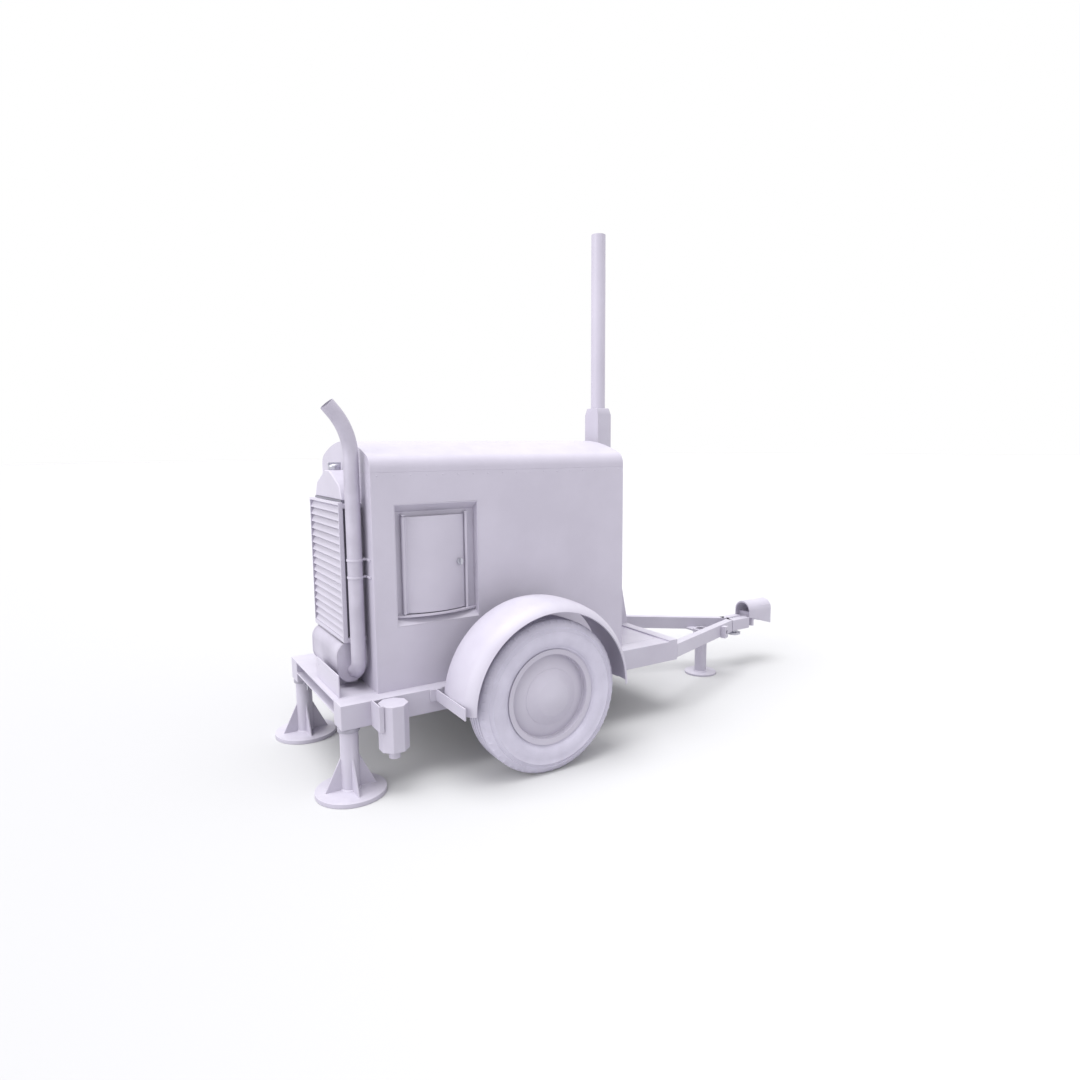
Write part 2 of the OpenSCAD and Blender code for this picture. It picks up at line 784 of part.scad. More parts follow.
module door_shell() {
  cy = -hy + 4 + door_r;
  intersection() {
    difference() {
      rod_z([bay_mid, cy, door_z0], 2 * door_r, door_h);
      rod_z([bay_mid, cy, door_z0 + 4], 2 * door_r - 8, door_h - 8);
    }
    block([hinge_x + 3, -hy - 10, door_z0], [bay_mid + door_w / 2, -hy + door_bow + 4, door_z0 + door_h]);
  }
}

module control_door() {
  color(enamel) at_axle() difference() {
    union() {
      door_shell();
      rod_z([hinge_x, hinge_y, door_z0], 2 * knuckle_r, door_h);
      block([hinge_x, hinge_y + 1, door_z0], [hinge_x + 18, hinge_y + knuckle_r, door_z0 + door_h]);
    }
    rod_z([hinge_x, hinge_y, door_z0 - 1], pin_d + 2 * run, door_h + 2);
    rod_y([latch_x, -hy - 10, latch_z], 12 + 2 * run, 60);
  }
}

// Quarter-turn latch; its tongue swings behind the right rail when the handle is turned
module door_latch() {
  face = -hy + 4 + door_r - sqrt(pow(door_r, 2) - pow(door_w / 2 - 30, 2));
  color(steel) at_axle() {
    rod_y([latch_x, face - 6, latch_z], 12, 24);
    rod_y([latch_x, face - 12, latch_z], 30, 6);
    block([latch_x - 5, face - 24, latch_z - 15], [latch_x + 5, face - 12, latch_z + 15]);
    block([latch_x - 7, face + 14, latch_z - 10], [latch_x + 7, face + 18, latch_z + 40]);
  }
}

// ---------- control panel ----------

module control_panel() {
  back = bay_back + 4;
  px = door_w / 2 - 8;
  color(enamel_light) at_axle() difference() {
    block([bay_mid - px, back, door_z0 + 4], [bay_mid + px, panel_y, door_z0 + door_h - 4]);
    block([bay_mid - px + 3, back - 1, door_z0 + 7], [bay_mid + px - 3, panel_face, door_z0 + door_h - 7]);
    for (i = [-1, 0, 1]) rod_y([bay_mid + i * control_step, panel_face - 1, button_z], button_d + 2 * run, 6);
    block([bay_mid - 12, panel_face - 1, breaker_z - 24], [bay_mid + 12, panel_y + 1, breaker_z + 24]);
  }
  color(enamel_light) at_axle() for (m = [-1, 1]) difference() {
    block([bay_mid + m * 16 - 3, panel_y, breaker_z - 20],
      [bay_mid + m * 16 + 3, panel_y + 20, breaker_z + 20]);
    rod_x([bay_mid + m * 16 - 4, panel_y + 8, breaker_z], 8 + 2 * run, 8);
  }
}

module gauges() {
  color(steel) at_axle() {
    for (i = [-1, 0, 1]) rod_y([bay_mid + i * control_step, panel_face - 10, dial_z], 62, 10);
    block([bay_mid - 60, panel_face - 8, screen_z - 32], [bay_mid + 60, panel_face, screen_z + 32]);
  }
}

// Push button whose head stands clear of the panel by its travel
module push_button(i, head) {
  at_axle() translate([bay_mid + i * control_step, panel_face, button_z]) {
    rod_y([0, -12, 0], button_d, 22);
    rod_y([0, -20, 0], head, 8);
  }
}

module start_button() { color("#9fb8a4") push_button(-1, 30); }
module stop_button() { color("#c79a9a") push_button(0, 40); }

module key_switch() {
  color(steel) at_axle() translate([bay_mid + control_step, panel_face, button_z]) {
    rod_y([0, -6, 0], button_d, 16);
    block([-3, -24, -12], [3, -5, 12]);
  }
}

module main_breaker() {
  color(dark_steel) at_axle() translate([bay_mid, panel_y + 8, breaker_z]) {
    rod_x([-10, 0, 0], 30, 20);
    rod_x([-18, 0, 0], 8, 36);
    block([-7, -44, -5], [7, 0, 5]);
  }
}

module power_outlets() {
  color(enamel) at_axle() for (i = [-1, 0, 1]) difference() {
    rod_y([bay_mid + i * control_step, panel_face - 22, outlet_z], outlet_d, 22);
    rod_y([bay_mid + i * control_step, panel_face - 23, outlet_z], socket_d, 17);
  }
}

// ---------- service door ----------

module service_door() {
  lap = 14;
  z0 = serve_z0 + 12;
  z1 = serve_z1 - 12;
  color(enamel) at_axle() difference() {
    union() {
      block([serve_hinge_x + 2, hy + gap, z0], [serve_x + lap, hy + gap + sheet, z1]);
      rod_z([serve_hinge_x, serve_hinge_y, z0], serve_pin + 7, z1 - z0);
    }
    rod_z([serve_hinge_x, serve_hinge_y, z0 - 1], serve_pin + 2 * run, z1 - z0 + 2);
    for (i = [0:serve_slots - 1]) block([-240, hy - 1, z0 + 60 + 36 * i], [200, hy + 10, z0 + 74 + 36 * i]);
    rod_y([serve_latch_x, hy, serve_latch_z], 14 + 2 * run, 10);
  }
}

// Quarter-turn latch; its tongue swings behind the wall when the handle is turned
module service_latch() {
  color(steel) at_axle() {
    rod_y([serve_latch_x, hy - 14, serve_latch_z], 14, 24);
    rod_y([serve_latch_x, hy + gap + sheet, serve_latch_z], 36, 6);
    block([serve_latch_x - 6, hy + 8, serve_latch_z - 16], [serve_latch_x + 6, hy + 22, serve_latch_z + 16]);
    block([serve_latch_x - 9, hy - 14, serve_latch_z - 12], [serve_latch_x + 9, hy - 10, serve_latch_z + 56]);
  }
}

// ---------- cooling ----------

module louvre_panel() {
  rim = 20;
  inner_h = louvre_h - 2 * rim;
  pitch = inner_h / slats;
  color(enamel) at_axle() {
    difference() {
      block([louvre_x - louvre_t, -louvre_w / 2, louvre_z0], [louvre_x, louvre_w / 2, louvre_z1]);
      block([louvre_x - louvre_t - 1, -louvre_w / 2 + rim, louvre_z0 + rim],
        [louvre_x + 1, louvre_w / 2 - rim, louvre_z1 - rim]);
    }
    for (i = [0:slats - 1]) translate([louvre_x - louvre_t, 0, louvre_z0 + rim + pitch * i])
      rotate([90, 0, 0]) translate([0, 0, -louvre_w / 2 + rim]) linear_extrude(louvre_w - 2 * rim)
        polygon([[0, 1], [2.5, 1], [louvre_t - 2, pitch - 6], [louvre_t - 4.5, pitch - 6]]);
  }
}

module radiator_core() {
  color(dark_steel) at_axle() difference() {
    block([core_x0, -core_w / 2, louvre_z0 + 14], [core_x1, core_w / 2, core_z1]);
    for (i = [0:12]) block([core_x0 - 1, -core_w / 2 + 20, louvre_z0 + 60 + 42 * i],
      [core_x0 + 6, core_w / 2 - 20, louvre_z0 + 78 + 42 * i]);
  }
}

module radiator_top_tank() {
  half = core_w / 2;
  color(enamel_light) at_axle() difference() {
    translate([core_x0 + 2, 0, core_z1]) rotate([90, 0, 90]) linear_extrude(hx0 - core_x0 - 2)
      polygon([[-half, 0], [half, 0], [half - 38, 67], [36, 128], [-36, 128], [-half + 38, 67]]);
    rod_z([cap_x, 0, tank_top - 30], 34, 31);
    translate([core_x0 + 6, 0, core_z1]) rotate([90, 0, 90]) linear_extrude(hx0 - core_x0 - 10)
      polygon([[-half + 8, 4], [half - 8, 4], [half - 42, 62], [40, 100], [-40, 100], [-half + 42, 62]]);
  }
}

module radiator_cap() {
  color(steel) at_axle() {
    rod_z([cap_x, 0, tank_top + gap], 57, 30);
    rod_z([cap_x, 0, tank_top - 20], 34 - 2 * run, 22);
    block([cap_x - 30, -7, tank_top + 20], [cap_x + 30, 7, tank_top + 36]);
  }
}

// Brackets between the housing, the louvre panel, the muffler and the exhaust pipe, and the
// blank registration plate beside the muffler
module rear_brackets() {
  plate_x = -frame_rear + 26;
  color(enamel) at_axle() {
    for (side = [-1, 1], z = [louvre_z0, louvre_z1 - 26]) on_side(side)
      block([louvre_x, -louvre_w / 2, z], [hx0, -core_w / 2, z + 20]);
    difference() {
      block([plate_x, -rail_in + 2, deck_z], [plate_x + 6, 22, deck_z + 100]);
      for (y = [-rail_in + 40, -16]) rod_x([plate_x - 1, y, deck_z + 70], 8, 8);
    }
    for (y = [-150, 120]) saddle(y);
    for (z = clamp_zs) pipe_clamp(z);
  }
}

module saddle(y) {
  difference() {
    block([muffler_x - 50, y, deck_z], [muffler_x + 50, y + 30, muffler_z - muffler_h / 2 + 40]);
    translate([muffler_x, y + 31, muffler_z]) rotate([90, 0, 0])
      linear_extrude(32) oval(muffler_w - 4, muffler_h - 4);
  }
}

// Strap along the wall with a band round the pipe
module pipe_clamp(z) {
  band = pipe_d / 2 + 3;
  height = 10;
  difference() {
    union() {
      rod_z([pipe_x, -pipe_y, z], 2 * band, height);
      block([pipe_x, -pipe_y - 10, z], [hx0, -pipe_y + 10, z + height]);
      block([hx0 - 6, -pipe_y - 62, z], [hx0, -pipe_y + 62, z + height]);
    }
    rod_z([pipe_x, -pipe_y, z - 1], pipe_d, height + 2);
  }
}

module cooling_fan() {
  color(dark_steel) at_axle() {
    rod_x([fan_x, 0, fan_z], 24, block_x0 + 20 - fan_x);
    rod_x([fan_x, 0, fan_z], 90, 30);
    rod_x([pulley_x, 0, fan_z], fan_pulley_d, pulley_w);
    for (a = [0:60:300]) translate([fan_x + 15, 0, fan_z]) rotate([a, 0, 0]) rotate([0, 0, 35])
      block([-2, -34, 30], [2, 34, fan_d / 2]);
  }
}

module belt_loop(grow) {
  hull() {
    circle(crank_pulley_d / 2 + grow);
    translate([fan_z - crank_z, 0]) circle(fan_pulley_d / 2 + grow);
  }
}

module fan_belt() {
  color(rubber) at_axle() translate([pulley_x + 5, 0, crank_z]) rotate([0, -90, 180])
    linear_extrude(pulley_w - 10) difference() {
      belt_loop(8);
      belt_loop(0.4);
    }
}

// ---------- engine ----------

module crankshaft() {
  r = gen_d / 2;
  color(dark_steel) at_axle() translate([0, 0, crank_z]) {
    rod_x([pulley_x, 0, 0], crank_pulley_d, pulley_w);
    rod_x([pulley_x, 0, 0], crank_d, block_x1 - pulley_x + 30);
    rod_x([block_x1 + 20, 0, 0], gen_d - 90, 30);
    rod_x([block_x1 + 50, 0, 0], crank_d, 40);
    rod_x([block_x1 + 80, 0, 0], gen_d - 140, gen_l - 140);
    rod_x([gen_x1 - 60, 0, 0], crank_d - 10, 55);
  }
}

module engine_block() {
  color(enamel) at_axle() difference() {
    union() {
      block([block_x0, -block_w / 2, block_z0], [block_x1, block_w / 2, block_z1]);
      for (x = [block_x0 + 40, block_x1 - 100], side = [-1, 1]) on_side(side) {
        block([x, -block_w / 2 - foot_out, deck_z], [x + 60, -block_w / 2, block_z0 + 50]);
      }
      for (i = [0:3]) rod_y([block_x0 + 70 + 100 * i, -block_w / 2 - 6, block_z1 - 60], 50, 6);
    }
    rod_x([block_x0 - 1, 0, crank_z], crank_d + 2 * run, block_l + 2);
  }
}

module cylinder_head() {
  half = block_w / 2 - 35;
  color(steel) at_axle() difference() {
    union() {
      block([block_x0 + 10, -half, block_z1], [block_x1 - 10, half, block_z1 + 60]);
      block([block_x0 + 30, -half + 25, block_z1 + 60], [block_x1 - 30, half - 25, head_z1]);
      rod_x([block_x0 - 20, 0, fan_z], 70, 32);
    }
    rod_x([block_x0 - 21, 0, fan_z], 24 + 2 * run, 60);
  }
}

module oil_sump() {
  color(dark_steel) at_axle() {
    half = block_w / 2 - 20;
    difference() {
      block([block_x0 + 20, -half, block_z0 - 60], [block_x1 - 20, half, block_z0]);
      block([block_x0 + 26, -half + 6, block_z0 - 54], [block_x1 - 26, half - 6, block_z0 - 8]);
    }
    difference() {
      block([block_x0 + 60, -half + 20, block_z0 - 110], [block_x1 - 120, half - 20, block_z0 - 60]);
      block([block_x0 + 66, -half + 26, block_z0 - 104], [block_x1 - 126, half - 26, block_z0 - 61]);
    }
  }
}

module air_filter() {
  color(enamel_light) at_axle() {
    difference() {
      rod_x([block_x0 + 80, 0, head_z1 + 130], 150, 260);
      rod_x([block_x0 + 90, 0, head_z1 + 130], 142, 240);
    }
    rod_x([block_x0 + 70, 0, head_z1 + 130], 164, 14);
    rod_z([block_x0 + 150, 0, head_z1], 50, 70);
    rod_z([block_x0 + 270, 0, head_z1], 30, 70);
  }
}

module generator_body() {
  r = gen_d / 2;
  color(enamel) at_axle() difference() {
    union() {
      rod_x([block_x1, 0, crank_z], gen_d, gen_l);
      for (x = [block_x1 + 60, gen_x1 - 110], side = [-1, 1]) on_side(side)
        block([x, -r * 0.8, deck_z], [x + 50, -r * 0.5, crank_z - r * 0.6]);
      block([block_x1 + 140, -110, crank_z + r * 0.8], [block_x1 + 340, 110, crank_z + r + 60]);
    }
    rod_x([block_x1 - 1, 0, crank_z], gen_d - 60, 72);
    rod_x([block_x1 + 70, 0, crank_z], gen_d - 130, gen_l - 110);
    rod_x([gen_x1 - 50, 0, crank_z], crank_d - 10 + 2 * run, 60);
  }
}

module fuel_tank() {
  color(dark_steel) at_axle() {
    difference() {
      block([tank_x - 45, -300, deck_z], [tank_x + 42, 300, tank_z1]);
      block([tank_x - 45 + sheet, -300 + sheet, deck_z + sheet],
        [tank_x + 42 - sheet, 300 - sheet, tank_z1 - sheet]);
    }
    rod_y([tank_x, 300, tank_z1 - 70], 50, hy + 3 - 300);
  }
}

module fuel_cap() {
  color(steel) at_axle() {
    rod_y([tank_x, hy + 3.5, tank_z1 - 70], 76, 24);
    block([tank_x - 30, hy + 27, tank_z1 - 77], [tank_x + 30, hy + 36, tank_z1 - 63]);
  }
}

module battery() {
  color(dark_steel) at_axle() {
    block([hx0 + 40, -rail_in, deck_z], [hx0 + 245, -rail_in + 172, deck_z + 190]);
    for (x = [hx0 + 75, hx0 + 210]) rod_z([x, -rail_in + 40, deck_z + 190], 18, 18);
  }
}

// ---------- exhaust ----------

module oval(w, h) {
  for (m = [-1, 1]) translate([0, m * (h - w) / 2]) circle(d = w);
  square([w, h - w], center = true);
}

module muffler() {
  lip = 6;
  color(steel) at_axle() {
    difference() {
      translate([muffler_x, muffler_y1, muffler_z]) rotate([90, 0, 0]) linear_extrude(muffler_l)
        oval(muffler_w - 4, muffler_h - 4);
      translate([muffler_x, muffler_y1 - sheet, muffler_z]) rotate([90, 0, 0])
        linear_extrude(muffler_l - 2 * sheet)
        oval(muffler_w - 12, muffler_h - 12);
    }
    for (y = [muffler_y0 + 16, muffler_y1 - 2]) translate([muffler_x, y, muffler_z]) rotate([90, 0, 0])
      linear_extrude(14) oval(muffler_w, muffler_h);
    rod_x([muffler_x + muffler_w / 2 - 12, inlet_y, muffler_z], inlet_d,
      inlet_x - muffler_x - muffler_w / 2 + 12);
    translate([inlet_x, inlet_y, muffler_z]) sphere(d = inlet_d);
    rod_z([inlet_x, inlet_y, muffler_z], inlet_d, fan_z - muffler_z - 20);
    translate([inlet_x, inlet_y, fan_z - 20]) sphere(d = inlet_d);
    rod_y([inlet_x, block_w / 2 - 35, fan_z - 20], inlet_d, inlet_y - block_w / 2 + 35);
  }
}

module pipe_ring() {
  difference() {
    circle(d = pipe_d);
    circle(d = pipe_d - 2 * pipe_wall);
  }
}

// Elbow out of the muffler, riser, tilted top bend and open end
module exhaust_pipe() {
  color(steel) at_axle() {
    translate([pipe_x, muffler_y0, elbow_z]) rotate([0, -90, 0]) rotate([0, 0, 180])
      rotate_extrude(angle = 90) translate([elbow_r, 0]) pipe_ring();
    translate([pipe_x, -pipe_y, elbow_z]) linear_extrude(pipe_bend_z - elbow_z) pipe_ring();
    translate([pipe_x - pipe_bend_r, -pipe_y, pipe_bend_z]) {
      rotate([90, 0, 0]) rotate_extrude(angle = pipe_tilt) translate([pipe_bend_r, 0]) pipe_ring();
      rotate([0, -pipe_tilt, 0]) translate([pipe_bend_r, 0, 0]) linear_extrude(pipe_tip) pipe_ring();
    }
  }
}

// ---------- mast ----------

module mast_post() {
  hx = post_x / 2;
  hyp = post_y / 2;
  color(enamel) at_axle() translate([mast_x, 0, 0]) {
    difference() {
      union() {
        block([-hx, -hyp, deck_z + 12], [hx, hyp, post_top]);
        intersection() {
          translate([0, hyp, 0]) rotate([90, 0, 0]) linear_extrude(post_y)
            polygon([[-hx, post_top], [hx, post_top],
              [hx - 3, post_top + cap_h], [-hx + 3, post_top + cap_h]]);
          translate([-hx, 0, 0]) rotate([90, 0, 90]) linear_extrude(post_x)
            polygon([[-hyp, post_top], [hyp, post_top],
              [hyp - 17, post_top + cap_h], [-hyp + 17, post_top + cap_h]]);
        }
      }
      block([-hx + 5, -hyp + 5, deck_z], [hx - 5, hyp - 5, post_top - 30]);
      rod_z([0, 0, post_top - 60], mast_d + 2 * run, 120);
    }
    block([-hx - 30, -hyp - 40, deck_z], [hx + 60, hyp + 40, deck_z + 12]);
    translate([hx, 4, 0]) rotate([90, 0, 0]) linear_extrude(8)
      polygon([[0, deck_z + 12], [frame_front - mast_x - hx - 8, deck_z + 12], [0, 1330]]);
    for (z = [700, 1300]) block([hx1 - mast_x, -20, z], [-hx, 20, z + 40]);
    for (x = [-38, 32]) difference() {
      block([x, hyp, winch_z - 50], [x + 6, winch_y + 40, winch_z + 50]);
      rod_x([x - 1, winch_y, winch_z], 20 + 2 * run, 8);
    }
  }
}

// The head is a millimetre thinner, so that a clamp stops at its shoulder
module mast_tube() {
  color(enamel_light) at_axle() translate([mast_x, 0, 0]) difference() {
    union() {
      rod_z([0, 0, mast_foot], mast_d, mast_top - mast_head - mast_foot);
      rod_z([0, 0, mast_top - mast_head], mast_d - 1, mast_head);
    }
    rod_z([0, 0, mast_foot - 1], mast_d - 10, mast_top - mast_foot - 5);
  }
}

module winch_crank() {
  throw = 120;
  color(steel) at_axle() translate([mast_x, winch_y, winch_z]) {
    rod_x([-40, 0, 0], 20, 110);
    rod_x([-28, 0, 0], 56, 56);
    for (x = [-30, 24]) rod_x([x, 0, 0], 80, 4);
    block([62, -10, -throw - 10], [70, 10, 12]);
    rod_x([60, 0, -throw], 24, 70);
  }
}

chassis_frame();
deck_plate();
drawbar();
coupler_head();
coupler_pin();
ball_clamp();
junction_box();
axle_tube();
suspension_arm_left();
suspension_arm_right();
tyre_left();
tyre_right();
wheel_rim_left();
wheel_rim_right();
mudguard_left();
mudguard_right();
side_brackets();
jack_guides();
rear_leg_left();
rear_leg_right();
rear_clamp_left();
rear_clamp_right();
front_leg();
front_clamp();
housing_walls();
roof_cover();
control_bay();
control_door();
door_latch();
control_panel();
gauges();
start_button();
stop_button();
key_switch();
main_breaker();
power_outlets();
service_door();
service_latch();
louvre_panel();
radiator_core();
radiator_top_tank();
radiator_cap();
rear_brackets();
cooling_fan();
fan_belt();
crankshaft();
engine_block();
cylinder_head();
oil_sump();
air_filter();
generator_body();
fuel_tank();
fuel_cap();
battery();
muffler();
exhaust_pipe();
filter_canister();
mast_post();
mast_tube();
winch_crank();
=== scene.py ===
"""Studio model of a towable diesel generator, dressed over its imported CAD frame."""

from __future__ import annotations

import json
import logging
import math
from dataclasses import dataclass, field
from enum import Enum
from typing import Iterable, Sequence

import bmesh
import bpy
from mathutils import Matrix, Vector


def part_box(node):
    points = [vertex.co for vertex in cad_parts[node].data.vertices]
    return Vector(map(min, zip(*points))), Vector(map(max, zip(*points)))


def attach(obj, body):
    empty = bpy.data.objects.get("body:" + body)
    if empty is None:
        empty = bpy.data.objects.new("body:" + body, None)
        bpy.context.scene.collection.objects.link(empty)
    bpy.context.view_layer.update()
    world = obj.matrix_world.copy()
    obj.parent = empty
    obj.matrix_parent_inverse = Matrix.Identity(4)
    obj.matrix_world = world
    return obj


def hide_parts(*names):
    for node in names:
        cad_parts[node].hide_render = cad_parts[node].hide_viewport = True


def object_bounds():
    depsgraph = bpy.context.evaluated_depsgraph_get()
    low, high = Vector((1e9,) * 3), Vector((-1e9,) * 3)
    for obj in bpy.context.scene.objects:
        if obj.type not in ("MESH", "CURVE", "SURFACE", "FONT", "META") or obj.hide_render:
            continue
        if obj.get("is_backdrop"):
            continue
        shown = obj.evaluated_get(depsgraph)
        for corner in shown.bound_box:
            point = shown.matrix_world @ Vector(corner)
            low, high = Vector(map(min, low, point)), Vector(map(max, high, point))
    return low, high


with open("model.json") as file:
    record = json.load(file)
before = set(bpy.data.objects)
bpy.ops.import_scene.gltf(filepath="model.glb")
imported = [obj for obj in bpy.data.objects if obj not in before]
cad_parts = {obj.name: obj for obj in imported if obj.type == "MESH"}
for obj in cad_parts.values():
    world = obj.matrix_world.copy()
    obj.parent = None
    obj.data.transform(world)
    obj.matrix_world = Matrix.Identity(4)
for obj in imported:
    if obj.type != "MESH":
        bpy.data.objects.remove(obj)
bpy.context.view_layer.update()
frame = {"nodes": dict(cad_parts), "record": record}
LOG = logging.getLogger("generator")

Point = tuple[float, float, float]
Profile = Sequence[tuple[float, float]]
MM = 0.001
WELD = 1e-6
# Corner numbers of a box's faces, counting x first, then y, then z.
BOX_FACES = ((0, 2, 3, 1), (4, 5, 7, 6), (0, 1, 5, 4), (2, 6, 7, 3), (0, 4, 6, 2), (1, 3, 7, 5))


class Side(Enum):
    """The two sides of the machine; the value is the sign of Y."""

    LEFT = -1
    RIGHT = 1

    @property
    def word(self) -> str:
        """The side's name as the CAD nodes spell it."""
        return self.name.lower()


class Axis(Enum):
    """The axis that a turned shape is spun about."""

    X = "x"
    Y = "y"
    Z = "z"


# ---------------------------------------------------------------- helpers


def linear(code: str) -> tuple[float, float, float, float]:
    """Turns an sRGB hex colour into linear RGBA.

    Args:
        code: Six hex digits, with or without a leading hash.

    Returns:
        The linear colour with full alpha.
    """
    raw = [int(code.lstrip("#")[i : i + 2], 16) / 255 for i in (0, 2, 4)]
    out = [c / 12.92 if c <= 0.04045 else ((c + 0.055) / 1.055) ** 2.4 for c in raw]
    return (out[0], out[1], out[2], 1.0)


def add_node(
    tree: bpy.types.NodeTree, kind: str, inputs: dict | None = None, **settings: object
) -> bpy.types.Node:
    """Adds one node with its settings, constants and links.

    Args:
        tree: The shader or geometry tree.
        kind: The node's type name.
        inputs: Socket name or number to a constant or to another node's output.
        settings: Properties of the node itself.

    Returns:
        The new node.
    """
    node = tree.nodes.new(kind)
    for name, value in settings.items():
        setattr(node, name, value)
    for key, value in (inputs or {}).items():
        if isinstance(value, bpy.types.NodeSocket):
            tree.links.new(value, node.inputs[key])
        else:
            node.inputs[key].default_value = value
    return node


def mixed(
    tree: bpy.types.NodeTree, factor: bpy.types.NodeSocket, low: object, high: object
) -> bpy.types.NodeSocket:
    """Mixes two colours, each a constant or a socket, and returns the result's socket."""
    low_colour, high_colour, result = 6, 7, 2
    node = add_node(
        tree, "ShaderNodeMix", {"Factor": factor, low_colour: low, high_colour: high},
        data_type="RGBA",
    )
    return node.outputs[result]


def blank_material(name: str) -> tuple[bpy.types.Material, bpy.types.NodeTree]:
    """Makes a material with an empty tree and returns both."""
    material = bpy.data.materials.new(name)
    material.use_nodes = True
    material.node_tree.nodes.clear()
    return material, material.node_tree


def mesh_object(name: str, mesh: bpy.types.Mesh) -> bpy.types.Object:
    """Links a mesh into the scene as an object at the origin."""
    obj = bpy.data.objects.new(name, mesh)
    bpy.context.scene.collection.objects.link(obj)
    return obj


def from_bmesh(name: str, bm: bmesh.types.BMesh, outward: bool = True) -> bpy.types.Object:
    """Turns a bmesh into an object, welded and facing outwards.

    Args:
        name: The piece's name.
        bm: The mesh, which is freed.
        outward: Whether to recalculate the normals.

    Returns:
        The new object.
    """
    bmesh.ops.remove_doubles(bm, verts=bm.verts, dist=WELD)
    if outward:
        bmesh.ops.recalc_face_normals(bm, faces=bm.faces)
    mesh = bpy.data.meshes.new(name)
    bm.to_mesh(mesh)
    bm.free()
    return mesh_object(name, mesh)


def soften(obj: bpy.types.Object, angle: float = 35.0) -> bpy.types.Object:
    """Shades a piece smooth, except across edges sharper than the angle."""
    obj.data.shade_smooth()
    obj.data.set_sharp_from_angle(angle=math.radians(angle))
    return obj


def applied(obj: bpy.types.Object) -> bpy.types.Object:
    """Bakes a piece's modifiers into a plain mesh and removes them.

    Args:
        obj: The piece with its modifiers.

    Returns:
        The same object with a plain mesh.
    """
    graph = bpy.context.evaluated_depsgraph_get()
    graph.update()
    mesh = bpy.data.meshes.new_from_object(obj.evaluated_get(graph))
    obj.modifiers.clear()
    old = obj.data
    obj.data = mesh
    bpy.data.meshes.remove(old)
    return obj


def bevelled(
    obj: bpy.types.Object, width: float, segments: int = 2, angle: float = 38.0
) -> bpy.types.Object:
    """Rounds a piece's sharp edges.

    Args:
        obj: The piece.
        width: Bevel width in metres.
        segments: Number of bevel segments.
        angle: Edges sharper than this many degrees are rounded.

    Returns:
        The piece with the bevel applied.
    """
    mod = obj.modifiers.new("edge", "BEVEL")
    mod.width = width
    mod.segments = segments
    mod.limit_method = "ANGLE"
    mod.angle_limit = math.radians(angle)
    mod.use_clamp_overlap = False
    mod.miter_outer = "MITER_ARC"
    soften(applied(obj))
    even = obj.modifiers.new("even_flats", "WEIGHTED_NORMAL")
    even.keep_sharp = True
    return applied(obj)


def box_into(bm: bmesh.types.BMesh, low: Sequence[float], high: Sequence[float]) -> None:
    """Adds a box between two corners to a mesh."""
    v = [
        bm.verts.new((x, y, z))
        for z in (low[2], high[2])
        for y in (low[1], high[1])
        for x in (low[0], high[0])
    ]
    for a, b, c, d in BOX_FACES:
        bm.faces.new((v[a], v[b], v[c], v[d]))


def turned(
    profile: Profile, centre: Point, axis: Axis, segments: int = 96, arc: float = 360.0
) -> bmesh.types.BMesh:
    """Spins a closed profile of (radius, distance along the axis) into a solid.

    Args:
        profile: The outline's points, in order.
        centre: The point that the distances count from.
        axis: The axis to spin about.
        segments: Steps in a full turn.
        arc: Degrees to turn through.

    Returns:
        The solid as a bmesh.
    """
    bm = bmesh.new()
    full = arc == 360.0
    count = segments if full else round(segments * arc / 360.0) + 1
    rings: list[list[bmesh.types.BMVert]] = []
    for i in range(count):
        a = math.radians(arc * i / (segments if full else count - 1))
        ring = []
        for r, t in profile:
            u, w = r * math.cos(a), r * math.sin(a)
            offset = {Axis.X: (t, u, w), Axis.Y: (u, t, w), Axis.Z: (u, w, t)}[axis]
            ring.append(bm.verts.new(Vector(centre) + Vector(offset)))
        rings.append(ring)
    n = len(profile)
    for i in range(count if full else count - 1):
        here, there = rings[i], rings[(i + 1) % count]
        for k in range(n):
            bm.faces.new((here[k], here[(k + 1) % n], there[(k + 1) % n], there[k]))
    if not full:
        bm.faces.new(rings[0])
        bm.faces.new(rings[-1][::-1])
    bmesh.ops.remove_doubles(bm, verts=bm.verts, dist=WELD)
    bmesh.ops.dissolve_degenerate(bm, edges=bm.edges, dist=1e-7)
    return bm


def carried_copy(node: str, merge: float = 2e-5) -> bpy.types.Object:
    """Copies a CAD node's mesh, welds it and clears its flat seams.

    Args:
        node: The CAD node.
        merge: Weld distance in metres.

    Returns:
        A new object, ready for modifiers.
    """
    bm = bmesh.new()
    bm.from_mesh(frame["nodes"][node].data)
    bmesh.ops.remove_doubles(bm, verts=bm.verts, dist=merge)
    bmesh.ops.dissolve_limit(bm, angle_limit=math.radians(0.4), verts=bm.verts, edges=bm.edges)
    return from_bmesh(f"{node}_skin", bm, outward=False)


# ---------------------------------------------------------------- repeated geometry


